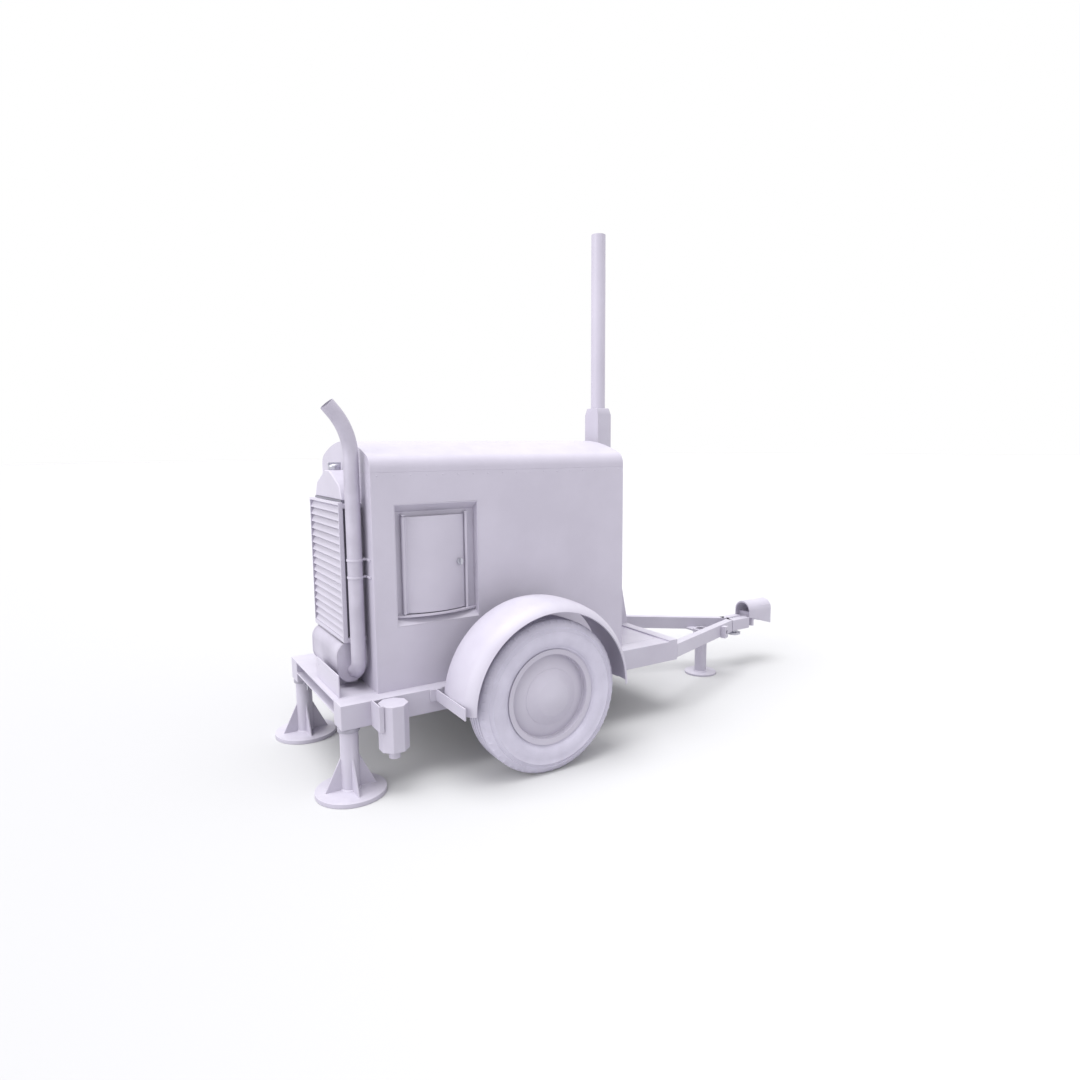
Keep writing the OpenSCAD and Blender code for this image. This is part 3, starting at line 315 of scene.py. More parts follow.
@dataclass(frozen=True)
class Repeater:
    """Geometry Nodes that repeat a modelled piece along a line or round an axis."""

    name: str
    count: int
    step: Point = (0.0, 0.0, 0.0)
    spin: Point = (0.0, 0.0, 0.0)
    place: Point = (0.0, 0.0, 0.0)

    def tree(self) -> bpy.types.NodeTree:
        """Builds the tree: points on a line, a turned copy at each, realised and dressed.

        Returns:
            The geometry tree, with inputs for its count, step, spin and place.
        """
        tree = bpy.data.node_groups.new(self.name, "GeometryNodeTree")
        face = tree.interface
        face.new_socket("Geometry", in_out="INPUT", socket_type="NodeSocketGeometry")
        for label, kind in (
            ("Count", "NodeSocketInt"),
            ("Step", "NodeSocketVector"),
            ("Spin", "NodeSocketVector"),
            ("Place", "NodeSocketVector"),
            ("Finish", "NodeSocketMaterial"),
        ):
            face.new_socket(label, in_out="INPUT", socket_type=kind)
        face.new_socket("Geometry", in_out="OUTPUT", socket_type="NodeSocketGeometry")
        given = add_node(tree, "NodeGroupInput").outputs
        along = {"Count": given["Count"], "Start Location": given["Place"], "Offset": given["Step"]}
        line = add_node(tree, "GeometryNodeMeshLine", along, mode="OFFSET")
        index = add_node(tree, "GeometryNodeInputIndex")
        spin = {0: given["Spin"], "Scale": index.outputs[0]}
        turn = add_node(tree, "ShaderNodeVectorMath", spin, operation="SCALE")
        rotation = add_node(tree, "FunctionNodeEulerToRotation", {0: turn.outputs[0]})
        copies = {"Points": line.outputs["Mesh"], "Instance": given["Geometry"],
                  "Rotation": rotation.outputs[0]}
        placed = add_node(tree, "GeometryNodeInstanceOnPoints", copies)
        real = add_node(tree, "GeometryNodeRealizeInstances", {"Geometry": placed.outputs[0]})
        finish = {"Geometry": real.outputs[0], "Material": given["Finish"]}
        dressed = add_node(tree, "GeometryNodeSetMaterial", finish)
        add_node(tree, "NodeGroupOutput", {0: dressed.outputs[0]})
        return tree

    def apply(self, seed: bpy.types.Object, finish: bpy.types.Material) -> bpy.types.Object:
        """Runs the tree on one modelled piece.

        Args:
            seed: The piece to repeat, modelled round the origin.
            finish: The material for every copy.

        Returns:
            The same object, now holding every copy as a plain mesh.
        """
        tree = self.tree()
        mod = seed.modifiers.new("repeat", "NODES")
        mod.node_group = tree
        values = {"Count": self.count, "Step": self.step, "Spin": self.spin, "Place": self.place,
                  "Finish": finish}
        for item in tree.interface.items_tree:
            if item.in_out == "INPUT" and item.name in values:
                mod[item.identifier] = values[item.name]
        applied(seed)
        seed.data.materials.clear()
        seed.data.materials.append(finish)
        return seed


# ---------------------------------------------------------------- finishes


@dataclass(frozen=True)
class Finish:
    """A surface: its colour, gloss and grain, made from nodes on object coordinates."""

    name: str
    colour: str
    shade: str
    roughness: float
    metallic: float = 0.0
    ior: float = 1.5
    grain_mm: float = 1.2
    grain_depth: float = 0.05
    cloud_mm: float = 260.0
    # Paler colour for faces that look up: partly dust, partly painted top light.
    dust: str | None = None
    coat: float = 0.0

    def build(self) -> bpy.types.Material:
        """Makes the material.

        Returns:
            The material with its whole node tree.
        """
        material, tree = blank_material(self.name)
        spot = add_node(tree, "ShaderNodeTexCoord").outputs["Object"]
        top = self.colouring(tree, spot)
        # Painted top light and dust: faces that look up turn paler.
        if self.dust:
            top = self.dusting(tree, spot, top)
        gloss_noise = add_node(
            tree, "ShaderNodeTexNoise",
            {"Vector": spot, "Scale": 1000 / (self.cloud_mm / 4), "Detail": 3.0},
        )
        gloss = add_node(
            tree, "ShaderNodeMapRange",
            {"Value": gloss_noise.outputs[0], "From Min": 0.3, "From Max": 0.7,
             "To Min": max(0.05, self.roughness - 0.06), "To Max": min(1.0, self.roughness + 0.07)},
        )
        grain = add_node(
            tree, "ShaderNodeTexNoise",
            {"Vector": spot, "Scale": 1000 / self.grain_mm, "Detail": 2.0},
        )
        bump = add_node(
            tree, "ShaderNodeBump",
            {"Height": grain.outputs[0], "Strength": self.grain_depth,
             "Distance": self.grain_mm * MM * 0.3},
        )
        shader = add_node(
            tree, "ShaderNodeBsdfPrincipled",
            {"Base Color": top, "Roughness": gloss.outputs[0], "Metallic": self.metallic,
             "Normal": bump.outputs[0], "Coat Weight": self.coat, "Coat Roughness": 0.15},
        )
        if self.metallic < 0.5:
            shader.inputs["IOR"].default_value = self.ior
        add_node(tree, "ShaderNodeOutputMaterial", {"Surface": shader.outputs[0]})
        return material

    def colouring(
        self, tree: bpy.types.NodeTree, spot: bpy.types.NodeSocket
    ) -> bpy.types.NodeSocket:
        """Blends the colour and its shade in soft clouds.

        Args:
            tree: The material's tree.
            spot: The object coordinates.

        Returns:
            The colour's socket.
        """
        cloud = add_node(
            tree, "ShaderNodeTexNoise",
            {"Vector": spot, "Scale": 1000 / self.cloud_mm, "Detail": 4.0, "Roughness": 0.55},
        )
        blend = add_node(
            tree, "ShaderNodeMapRange",
            {"Value": cloud.outputs[0], "From Min": 0.35, "From Max": 0.68},
        )
        return mixed(tree, blend.outputs[0], linear(self.shade), linear(self.colour))

    def dusting(
        self, tree: bpy.types.NodeTree, spot: bpy.types.NodeSocket, under: bpy.types.NodeSocket
    ) -> bpy.types.NodeSocket:
        """Lays a patchy paler colour on the faces that look up: partly dust, partly painted top
        light that brightens upward faces.

        Args:
            tree: The material's tree.
            spot: The object coordinates.
            under: The colour before the dust and painted top light.

        Returns:
            The socket of the colour with dust and painted top light.
        """
        # The paler mix follows how far each face looks up, so it paints top light as well as dust.
        normal = add_node(tree, "ShaderNodeNewGeometry").outputs["Normal"]
        facing = add_node(tree, "ShaderNodeSeparateXYZ", {0: normal})
        flat = add_node(
            tree, "ShaderNodeMapRange",
            {"Value": facing.outputs[2], "From Min": 0.45, "From Max": 1.0, "To Max": 0.75},
        )
        patch = add_node(
            tree, "ShaderNodeTexNoise",
            {"Vector": spot, "Scale": 11.0, "Detail": 5.0, "Roughness": 0.65},
        )
        thin = add_node(
            tree, "ShaderNodeMapRange",
            {"Value": patch.outputs[0], "From Min": 0.3, "From Max": 0.7, "To Min": 0.35},
        )
        mask = add_node(
            tree, "ShaderNodeMath", {0: flat.outputs[0], 1: thin.outputs[0]}, operation="MULTIPLY"
        )
        return mixed(tree, mask.outputs[0], under, linear(self.dust))


FINISHES: dict[str, Finish] = {
    # Two-coat alkyd enamel sprayed on steel: even satin with an orange peel of about 2 mm.
    # Its paler dust colour on faces that look up is partly dust, partly painted top light.
    "frame_enamel": Finish(
        "frame_alkyd_enamel", "#BDB9C7", "#B6B1C0", 0.46, grain_mm=2.0, dust="#C9C5D1"
    ),
    # The same enamel on thin sheet, a little lighter and smoother.
    # Its paler dust colour on faces that look up is partly dust, partly painted top light.
    "housing_enamel": Finish(
        "sheet_alkyd_enamel", "#BFBAC9", "#B9B4C3", 0.42, grain_mm=1.8, dust="#C9C5D1"
    ),
    # Brushed engine paint over castings: duller, with the sand-cast grain showing through.
    "engine_paint": Finish(
        "engine_paint_on_castings", "#A9A9B2", "#9A9AA3", 0.55, grain_mm=3.0, grain_depth=0.22
    ),
    # Weathered grey trailer-tyre rubber: matt, with a fine mould grain.
    "tyre_rubber": Finish(
        "weathered_tyre_rubber", "#C8C4D5", "#BEBACB", 0.78, ior=1.52, grain_mm=0.9,
        grain_depth=0.18, cloud_mm=90.0,
    ),
    # Belt rubber: black, matt.
    "belt_rubber": Finish(
        "belt_rubber", "#2B2B2E", "#232326", 0.7, ior=1.52, grain_mm=0.6, grain_depth=0.15
    ),
    # Chassis primer on the axle and guides: mid grey, satin, grainy.
    # Its paler dust colour on faces that look up is partly dust, partly painted top light.
    "dark_metal": Finish(
        "chassis_primer", "#A29FAC", "#9794A1", 0.55, grain_mm=2.2, grain_depth=0.12,
        dust="#B4B1BC",
    ),
    # Matt lacquered radiator matrix.
    "core_metal": Finish(
        "lacquered_radiator_matrix", "#8A8894", "#7C7A86", 0.6, metallic=0.3, grain_mm=1.0,
        grain_depth=0.1,
    ),
    # Zinc plate on turned steel: bright grey metal with a soft spangle.
    "zinc_steel": Finish(
        "zinc_plated_steel", "#C9C9D2", "#B5B5BF", 0.34, metallic=0.9, grain_mm=0.8,
        cloud_mm=30.0,
    ),
    # Aluminised exhaust sheet: pale satin metal with cloudy heat marks.
    "hot_steel": Finish(
        "aluminised_exhaust_steel", "#BFBAC9", "#B0ABBA", 0.48, metallic=0.25, grain_mm=1.4,
        grain_depth=0.08, cloud_mm=140.0,
    ),
    # Sand-cast aluminium: bright, rough skin.
    "cast_alloy": Finish(
        "sand_cast_aluminium", "#BDBDC4", "#ABABB3", 0.5, metallic=0.85, grain_mm=1.6,
        grain_depth=0.3,
    ),
    # Moulded phenolic and ABS: near black, fine spark-eroded grain.
    "dark_plastic": Finish(
        "moulded_dark_plastic", "#37373C", "#303034", 0.52, ior=1.54, grain_mm=0.5,
        grain_depth=0.12,
    ),
    # Glossy moulded button caps under a clear skin.
    "green_plastic": Finish(
        "green_button_plastic", "#3F8F54", "#37824B", 0.3, ior=1.54, grain_mm=0.5, coat=0.3
    ),
    "red_plastic": Finish(
        "red_button_plastic", "#B5362F", "#A52F29", 0.3, ior=1.54, grain_mm=0.5, coat=0.3
    ),
}


@dataclass
class PaintShop:
    """Makes each finish once and puts finishes on pieces."""

    made: dict[str, bpy.types.Material] = field(default_factory=dict)

    def finish(self, slot: str) -> bpy.types.Material:
        """Returns the material for a record slot, making it the first time."""
        if slot not in self.made:
            self.made[slot] = FINISHES[slot].build()
        return self.made[slot]

    def coat(self, obj: bpy.types.Object, slot: str) -> bpy.types.Object:
        """Gives a piece one finish all over."""
        obj.data.materials.clear()
        obj.data.materials.append(self.finish(slot))
        return obj

    def slot_of(self, node: str) -> str:
        """Returns the material slot that the record gives a CAD node."""
        for row in frame["record"]["subparts"]:
            if row["node"] == node:
                return row["material_slot"]
        raise KeyError(node)


SHOP = PaintShop()


def body_of(node: str) -> str:
    """Returns the name of the body that a CAD node belongs to."""
    for body, nodes in frame["record"]["behaviour"]["bodies"].items():
        if node in nodes:
            return body
    raise KeyError(node)


def settle(
    obj: bpy.types.Object, like: str, slot: str | None = None, replaces: Iterable[str] = ()
) -> bpy.types.Object:
    """Finishes a piece: finish, body and the CAD nodes it stands for.

    Args:
        obj: The piece.
        like: A CAD node on the body it rides on.
        slot: The record's slot for its finish, or None for the CAD node's own.
        replaces: CAD nodes that this piece stands for.

    Returns:
        The piece.
    """
    slot = slot or SHOP.slot_of(like)
    SHOP.coat(obj, slot)
    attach(obj, body_of(like))
    if replaces:
        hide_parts(*replaces)
    LOG.info("piece %s on %s, %d faces", obj.name, body_of(like), len(obj.data.polygons))
    return obj


def soften_nodes(rows: dict[str, float], segments: int = 2) -> None:
    """Replaces CAD nodes by copies with rounded edges.

    Args:
        rows: Each node's edge rounding in millimetres.
        segments: Bevel segments.
    """
    for node, width in rows.items():
        settle(bevelled(carried_copy(node), width * MM, segments), node, replaces=[node])


def half_size(node: str, axis: int) -> float:
    """Returns half of a CAD node's length along one axis."""
    low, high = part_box(node)
    return (high[axis] - low[axis]) / 2


# ---------------------------------------------------------------- running gear


@dataclass
class Wheel:
    """A ribbed trailer tyre on a dished steel wheel with a stepped hub cap."""

    side: Side
    ribs: int = 4
    groove_width: float = 0.007
    groove_depth: float = 0.008
    crown_drop: float = 0.0022
    tread_inset: float = 0.038
    lugs: int = 56
    segments: int = 144
    # The tyre's section in millimetres: out from the rim's edge, then in from the tread, each
    # with its distance in from the tyre's side.
    wall_from_rim: Profile = (
        (-19, 30), (3, 22.5), (8, 19.5), (12, 18.5), (16, 11.5), (30, 4.8), (44, 1.4), (62, 0),
        (80, 1.6), (84, -0.4), (88, 3),
    )
    wall_from_tread: Profile = (
        (36, 8.4), (33, 6), (22, 10.5), (11.5, 18.5), (4, 27), (1.2, 34.5),
    )
    lug_section: Profile = ((30, 11), (14, 19), (7.5, 26.5))

    @property
    def tyre_node(self) -> str:
        """The CAD node of this side's tyre."""
        return f"tyre_{self.side.word}"

    @property
    def rim_node(self) -> str:
        """The CAD node of this side's wheel."""
        return f"wheel_rim_{self.side.word}"

    def centre(self) -> Point:
        """Returns the middle of the tyre."""
        low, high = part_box(self.tyre_node)
        return tuple((a + b) / 2 for a, b in zip(low, high))

    def tyre(self) -> None:
        """Turns the tyre with its tread grooves and sidewall rings."""
        radius = half_size(self.tyre_node, 2) - 0.0006
        half = half_size(self.tyre_node, 1) - 0.0008
        rim = half_size(self.rim_node, 2)
        wall = [(rim + out * MM, half - inset * MM) for out, inset in self.wall_from_rim]
        wall += [(radius - down * MM, half - inset * MM) for down, inset in self.wall_from_tread]
        band = half - self.tread_inset
        lip, depth = self.groove_width / 2, self.groove_depth
        tread: list[tuple[float, float]] = []
        for i in range(self.ribs):
            mid = band - 2 * band * (i + 0.5) / self.ribs
            crown = radius - self.crown_drop * (mid / band) ** 2
            tread += [(crown, mid + lip), (crown - depth, mid + lip * 0.6),
                      (crown - depth, mid - lip * 0.6), (crown, mid - lip)]
        far = [(r, -t) for r, t in reversed(wall)]
        bead = half - 0.045
        inside = [(rim - 0.014, -bead), (rim - 0.012, 0.0), (rim - 0.014, bead)]
        bm = turned(wall + tread + far + inside, self.centre(), Axis.Y, self.segments)
        tyre = soften(from_bmesh(f"tyre_tread_{self.side.word}", bm), 40)
        settle(tyre, self.tyre_node, replaces=[self.tyre_node])

    def shoulder_lugs(self, hand: int) -> None:
        """Rings one shoulder of the tyre with moulded lugs.

        Args:
            hand: 1 for the outer shoulder, -1 for the inner.
        """
        radius, half = half_size(self.tyre_node, 2), half_size(self.tyre_node, 1)
        y = self.side.value * hand
        foot = 0.006
        section = [(radius - down * MM, half - inset * MM) for down, inset in self.lug_section]
        bm = bmesh.new()
        rings = []
        for x, swell in ((-0.0065, 0.0), (-0.0045, 0.0028), (0.0045, 0.0028), (0.0065, 0.0)):
            face = [(x, y * (t + swell * 0.6), r + swell) for r, t in section]
            back = [(x, y * (t - foot), r - foot) for r, t in reversed(section)]
            rings.append([bm.verts.new(at) for at in face + back])
        for a, b in zip(rings, rings[1:]):
            for k in range(len(a)):
                bm.faces.new((a[k], a[(k + 1) % len(a)], b[(k + 1) % len(a)], b[k]))
        bm.faces.new(rings[0])
        bm.faces.new(rings[-1][::-1])
        word = "outer" if hand > 0 else "inner"
        seed = from_bmesh(f"shoulder_lugs_{word}_{self.side.word}", bm)
        repeat = Repeater(
            "Lug ring", self.lugs, spin=(0.0, math.tau / self.lugs, 0.0), place=self.centre()
        )
        settle(soften(repeat.apply(seed, SHOP.finish("tyre_rubber")), 50), self.tyre_node)

    def rim(self) -> None:
        """Turns the wheel: flanges, well, dished disc and stepped hub cap."""
        low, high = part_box(self.rim_node)
        r, half = half_size(self.rim_node, 2), half_size(self.tyre_node, 1)
        far_face = high[1] if self.side is Side.RIGHT else low[1]
        reach = abs(far_face) - abs(self.centre()[1])
        cap, dome = r * 0.582, r * 0.369
        hub_cap = [
            (0.0, reach), (dome * 0.16, reach - 0.0005), (dome * 0.45, reach - 0.0035),
            (dome * 0.93, half + 0.0022), (dome, half + 0.0008), (dome + 0.0035, half - 0.0012),
            (cap * 0.95, half - 0.0212), (cap, half - 0.0250), (cap + 0.0004, half - 0.0272),
            (cap + 0.003, half - 0.0278),
        ]
        dish_and_flange = [
            (r - 0.0335, half - 0.0478), (r - 0.0300, half - 0.0488), (r - 0.0270, half - 0.0470),
            (r - 0.0262, half - 0.0240), (r - 0.0240, half - 0.0200), (r - 0.0060, half - 0.0178),
            (r - 0.0018, half - 0.0168), (r, half - 0.0182), (r - 0.0008, half - 0.0222),
            (r - 0.0070, half - 0.0245),
        ]
        well = [
            (r - 0.0203, half - 0.0297), (r - 0.0203, half - 0.0590), (r - 0.0245, 0.012),
            (r - 0.0245, -0.012), (r - 0.0203, -half + 0.059), (r - 0.0203, -half + 0.0297),
        ]
        inner_flange = [
            (r - 0.0008, -half + 0.0222), (r, -half + 0.0190), (r - 0.003, -half + 0.0172),
            (r - 0.030, -half + 0.0185), (r - 0.0340, -half + 0.0240), (r - 0.0335, -0.010),
        ]
        disc_back = [
            (r - 0.0370, half - 0.0590), (0.064, half - 0.0575), (0.058, half - 0.066),
            (0.0575, -half + 0.016), (0.054, -half + 0.0142), (0.0203, -half + 0.0142),
            (0.0203, half - 0.010), (0.0, half - 0.008),
        ]
        profile = hub_cap + dish_and_flange + well + inner_flange + disc_back
        outline = [(a, self.side.value * t) for a, t in profile]
        bm = turned(outline, self.centre(), Axis.Y, self.segments)
        wheel = soften(from_bmesh(f"dished_wheel_{self.side.word}", bm), 42)
        settle(wheel, self.rim_node, replaces=[self.rim_node])

    def build(self) -> None:
        """Makes every piece of the wheel."""
        self.tyre()
        self.shoulder_lugs(1)
        self.shoulder_lugs(-1)
        self.rim()


@dataclass
class Mudguard:
    """A half-round pressed mudguard with a rolled outer lip."""

    side: Side
    thickness: float = 0.0036
    bead: float = 0.0045
    segments: int = 160
    # The pressed skin in millimetres: down from the crown, with the distance out from the inner
    # edge and then in from the outer edge.
    inner_skin: Profile = ((11, 0), (6.2, 20), (3, 40), (0.6, 72), (0, 105), (1, 150))
    outer_skin: Profile = ((6, 58), (11.5, 40), (20, 26), (30.5, 12), (40, 4), (46.2, 0))

    def build(self) -> None:
        """Turns the pressed section through half a turn over the wheel."""
        node = f"mudguard_{self.side.word}"
        low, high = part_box(node)
        wheel = Wheel(self.side).centre()
        top = high[2] - wheel[2]
        near, far = (a - abs(wheel[1]) for a in sorted((abs(low[1]), abs(high[1]))))
        skin = [(top - down * MM, near + out * MM) for down, out in self.inner_skin]
        skin += [(top - down * MM, far - inset * MM) for down, inset in self.outer_skin]
        t = self.thickness
        turn_down = far - 0.03
        under = [(r - t, y if y < turn_down else y - t * 0.75) for r, y in reversed(skin)]
        bead = [
            (top - 0.0470 - self.bead * (1 - math.cos(a)) * 0.4,
             far - 0.0015 - self.bead * 0.5 * math.sin(a))
            for a in (0.5, 1.2, 1.9)
        ]
        outline = [(r, self.side.value * y) for r, y in skin + bead + under]
        bm = turned(outline, wheel, Axis.Y, self.segments, arc=180.0)
        guard = soften(from_bmesh(f"pressed_mudguard_{self.side.word}", bm), 50)
        settle(guard, node, replaces=[node])


@dataclass
class Undercarriage:
    """Frame, deck, axle, arms, jacks and their clamps."""

    rear_leg_radius: float = 0.040
    front_leg_radius: float = 0.0375
    rear_plate: float = 0.020
    front_plate: float = 0.012
    # Weld section in millimetres: out from the leg, up from the foot plate.
    weld: Profile = ((-1, -1), (6.5, -1), (5.5, 2), (3, 4.8), (-1, 6.5))

    def build(self) -> None:
        """Softens the edges of each welded or turned piece."""
        soften_nodes({
            "chassis_frame": 3.0, "deck_plate": 1.2, "axle_tube": 4.0,
            "suspension_arm_left": 2.5, "suspension_arm_right": 2.5, "side_brackets": 1.2,
            "jack_guides": 1.5, "rear_leg_left": 2.0, "rear_leg_right": 2.0, "front_leg": 1.8,
            "rear_clamp_left": 1.0, "rear_clamp_right": 1.0, "front_clamp": 1.0,
            "filter_canister": 2.8,
        })
        self.leg_weld("rear_leg_left", self.rear_leg_radius, self.rear_plate)
        self.leg_weld("rear_leg_right", self.rear_leg_radius, self.rear_plate)
        self.leg_weld("front_leg", self.front_leg_radius, self.front_plate)

    def leg_weld(self, node: str, leg: float, plate: float) -> None:
        """Runs a fillet of weld round the foot of a jack leg.

        Args:
            node: The leg's CAD node.
            leg: The leg's radius.
            plate: Height of the foot plate's top.
        """
        low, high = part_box(node)
        foot = ((low[0] + high[0]) / 2, (low[1] + high[1]) / 2, low[2])
        bead = [(leg + out * MM, plate + up * MM) for out, up in self.weld]
        bm = turned(bead, foot, Axis.Z, 64)
        settle(soften(from_bmesh(f"weld_ring_{node}", bm), 60), node)


@dataclass
class TowBar:
    """The drawbar, its coupler and the lighting socket box; edge rounding in millimetres."""

    bar_edge: float = 2.6

    def build(self) -> None:
        """Softens the edges of each piece."""
        soften_nodes({
            "drawbar": self.bar_edge, "coupler_head": self.bar_edge, "coupler_pin": 2.0,
            "ball_clamp": 1.2, "junction_box": 2.0,
        })


# ---------------------------------------------------------------- canopy


@dataclass
class Canopy:
    """Sheet walls and rolled roof, with the rivets under the eaves."""

    rivet_pitch: float = 0.075
    rivet_radius: float = 0.0038
    rivet_end_gap: float = 0.030
    rivet_drop: float = 0.014

    def rivet_row(self, name: str, start: Point, end: Point, out: Point) -> None:
        """Sets a row of domed rivets between two points.

        Args:
            name: The row's name.
            start: First rivet.
            end: Last rivet.
            out: Which way the domes face.
        """
        r = self.rivet_radius
        dome = [(0.0, r * 0.42), (r * 0.5, r * 0.36), (r * 0.85, r * 0.18), (r, 0.0),
                (r * 0.9, -r * 0.3), (0.0, -r * 0.3)]
        bm = turned(dome, (0.0, 0.0, 0.0), Axis.Z, 10)
        bm.transform(Vector(out).to_track_quat("Z", "Y").to_matrix().to_4x4())
        seed = from_bmesh(name, bm)
        run = Vector(end) - Vector(start)
        count = max(2, round(run.length / self.rivet_pitch) + 1)
        row = Repeater("Rivet row", count, step=tuple(run / (count - 1)), place=start)
        settle(soften(row.apply(seed, SHOP.finish("housing_enamel")), 60), "housing_walls")

    def build(self) -> None:
        """Makes the skins, the rivet rows, the service door and the fuel cap."""
        soften_nodes({"housing_walls": 0.9, "roof_cover": 0.9})
        low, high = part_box("housing_walls")
        x0, x1 = low[0] + self.rivet_end_gap, high[0] - self.rivet_end_gap
        z = high[2] - self.rivet_drop
        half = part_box("roof_cover")[1][1]
        self.rivet_row("eave_rivets_near", (x0, -half, z), (x1, -half, z), (0, -1, 0))
        self.rivet_row("eave_rivets_far", (x0, half, z), (x1, half, z), (0, 1, 0))
        soften_nodes({"service_door": 1.0, "service_latch": 1.2, "fuel_cap": 1.5})


@dataclass
class ControlBay:
    """The recess with its bowed door, and the panel behind it."""

    ticks: int = 9
    tick_turn: float = 30.0
    gauge_radius: float = 0.031

    def build(self) -> None:
        """Makes the recess, door, latch and the panel's instruments."""
        soften_nodes({
            "control_bay": 0.8, "control_door": 1.0, "door_latch": 1.2, "control_panel": 0.8,
            "gauges": 2.0, "start_button": 1.6, "stop_button": 2.4, "key_switch": 1.0,
            "main_breaker": 1.4, "power_outlets": 1.6,
        })
        low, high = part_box("gauges")
        r = self.gauge_radius
        for i, x in enumerate((low[0] + r, (low[0] + high[0]) / 2, high[0] - r)):
            self.dial(i, (x, low[1], high[2] - r))

    def dial(self, number: int, centre: Point) -> None:
        """Prints scale ticks and a needle on one round gauge.

        Args:
            number: The gauge's number, from the rear.
            centre: The middle of its glass.
        """
        x, y, z = centre
        bm = bmesh.new()
        box_into(bm, (-0.0008, -0.0004, 0.019), (0.0008, 0.0006, 0.025))
        seed = from_bmesh(f"dial_ticks_{number}", bm)
        spin = (0.0, math.radians(self.tick_turn), 0.0)
        ring = Repeater("Dial ticks", self.ticks, spin=spin, place=centre)
        settle(ring.apply(seed, SHOP.finish("frame_enamel")), "gauges", slot="frame_enamel")
        bm = bmesh.new()
        box_into(bm, (x - 0.0009, y - 0.0012, z - 0.005), (x + 0.0009, y + 0.0004, z + 0.020))
        settle(from_bmesh(f"dial_needle_{number}", bm), "gauges", slot="red_plastic")


# ---------------------------------------------------------------- cooling and exhaust


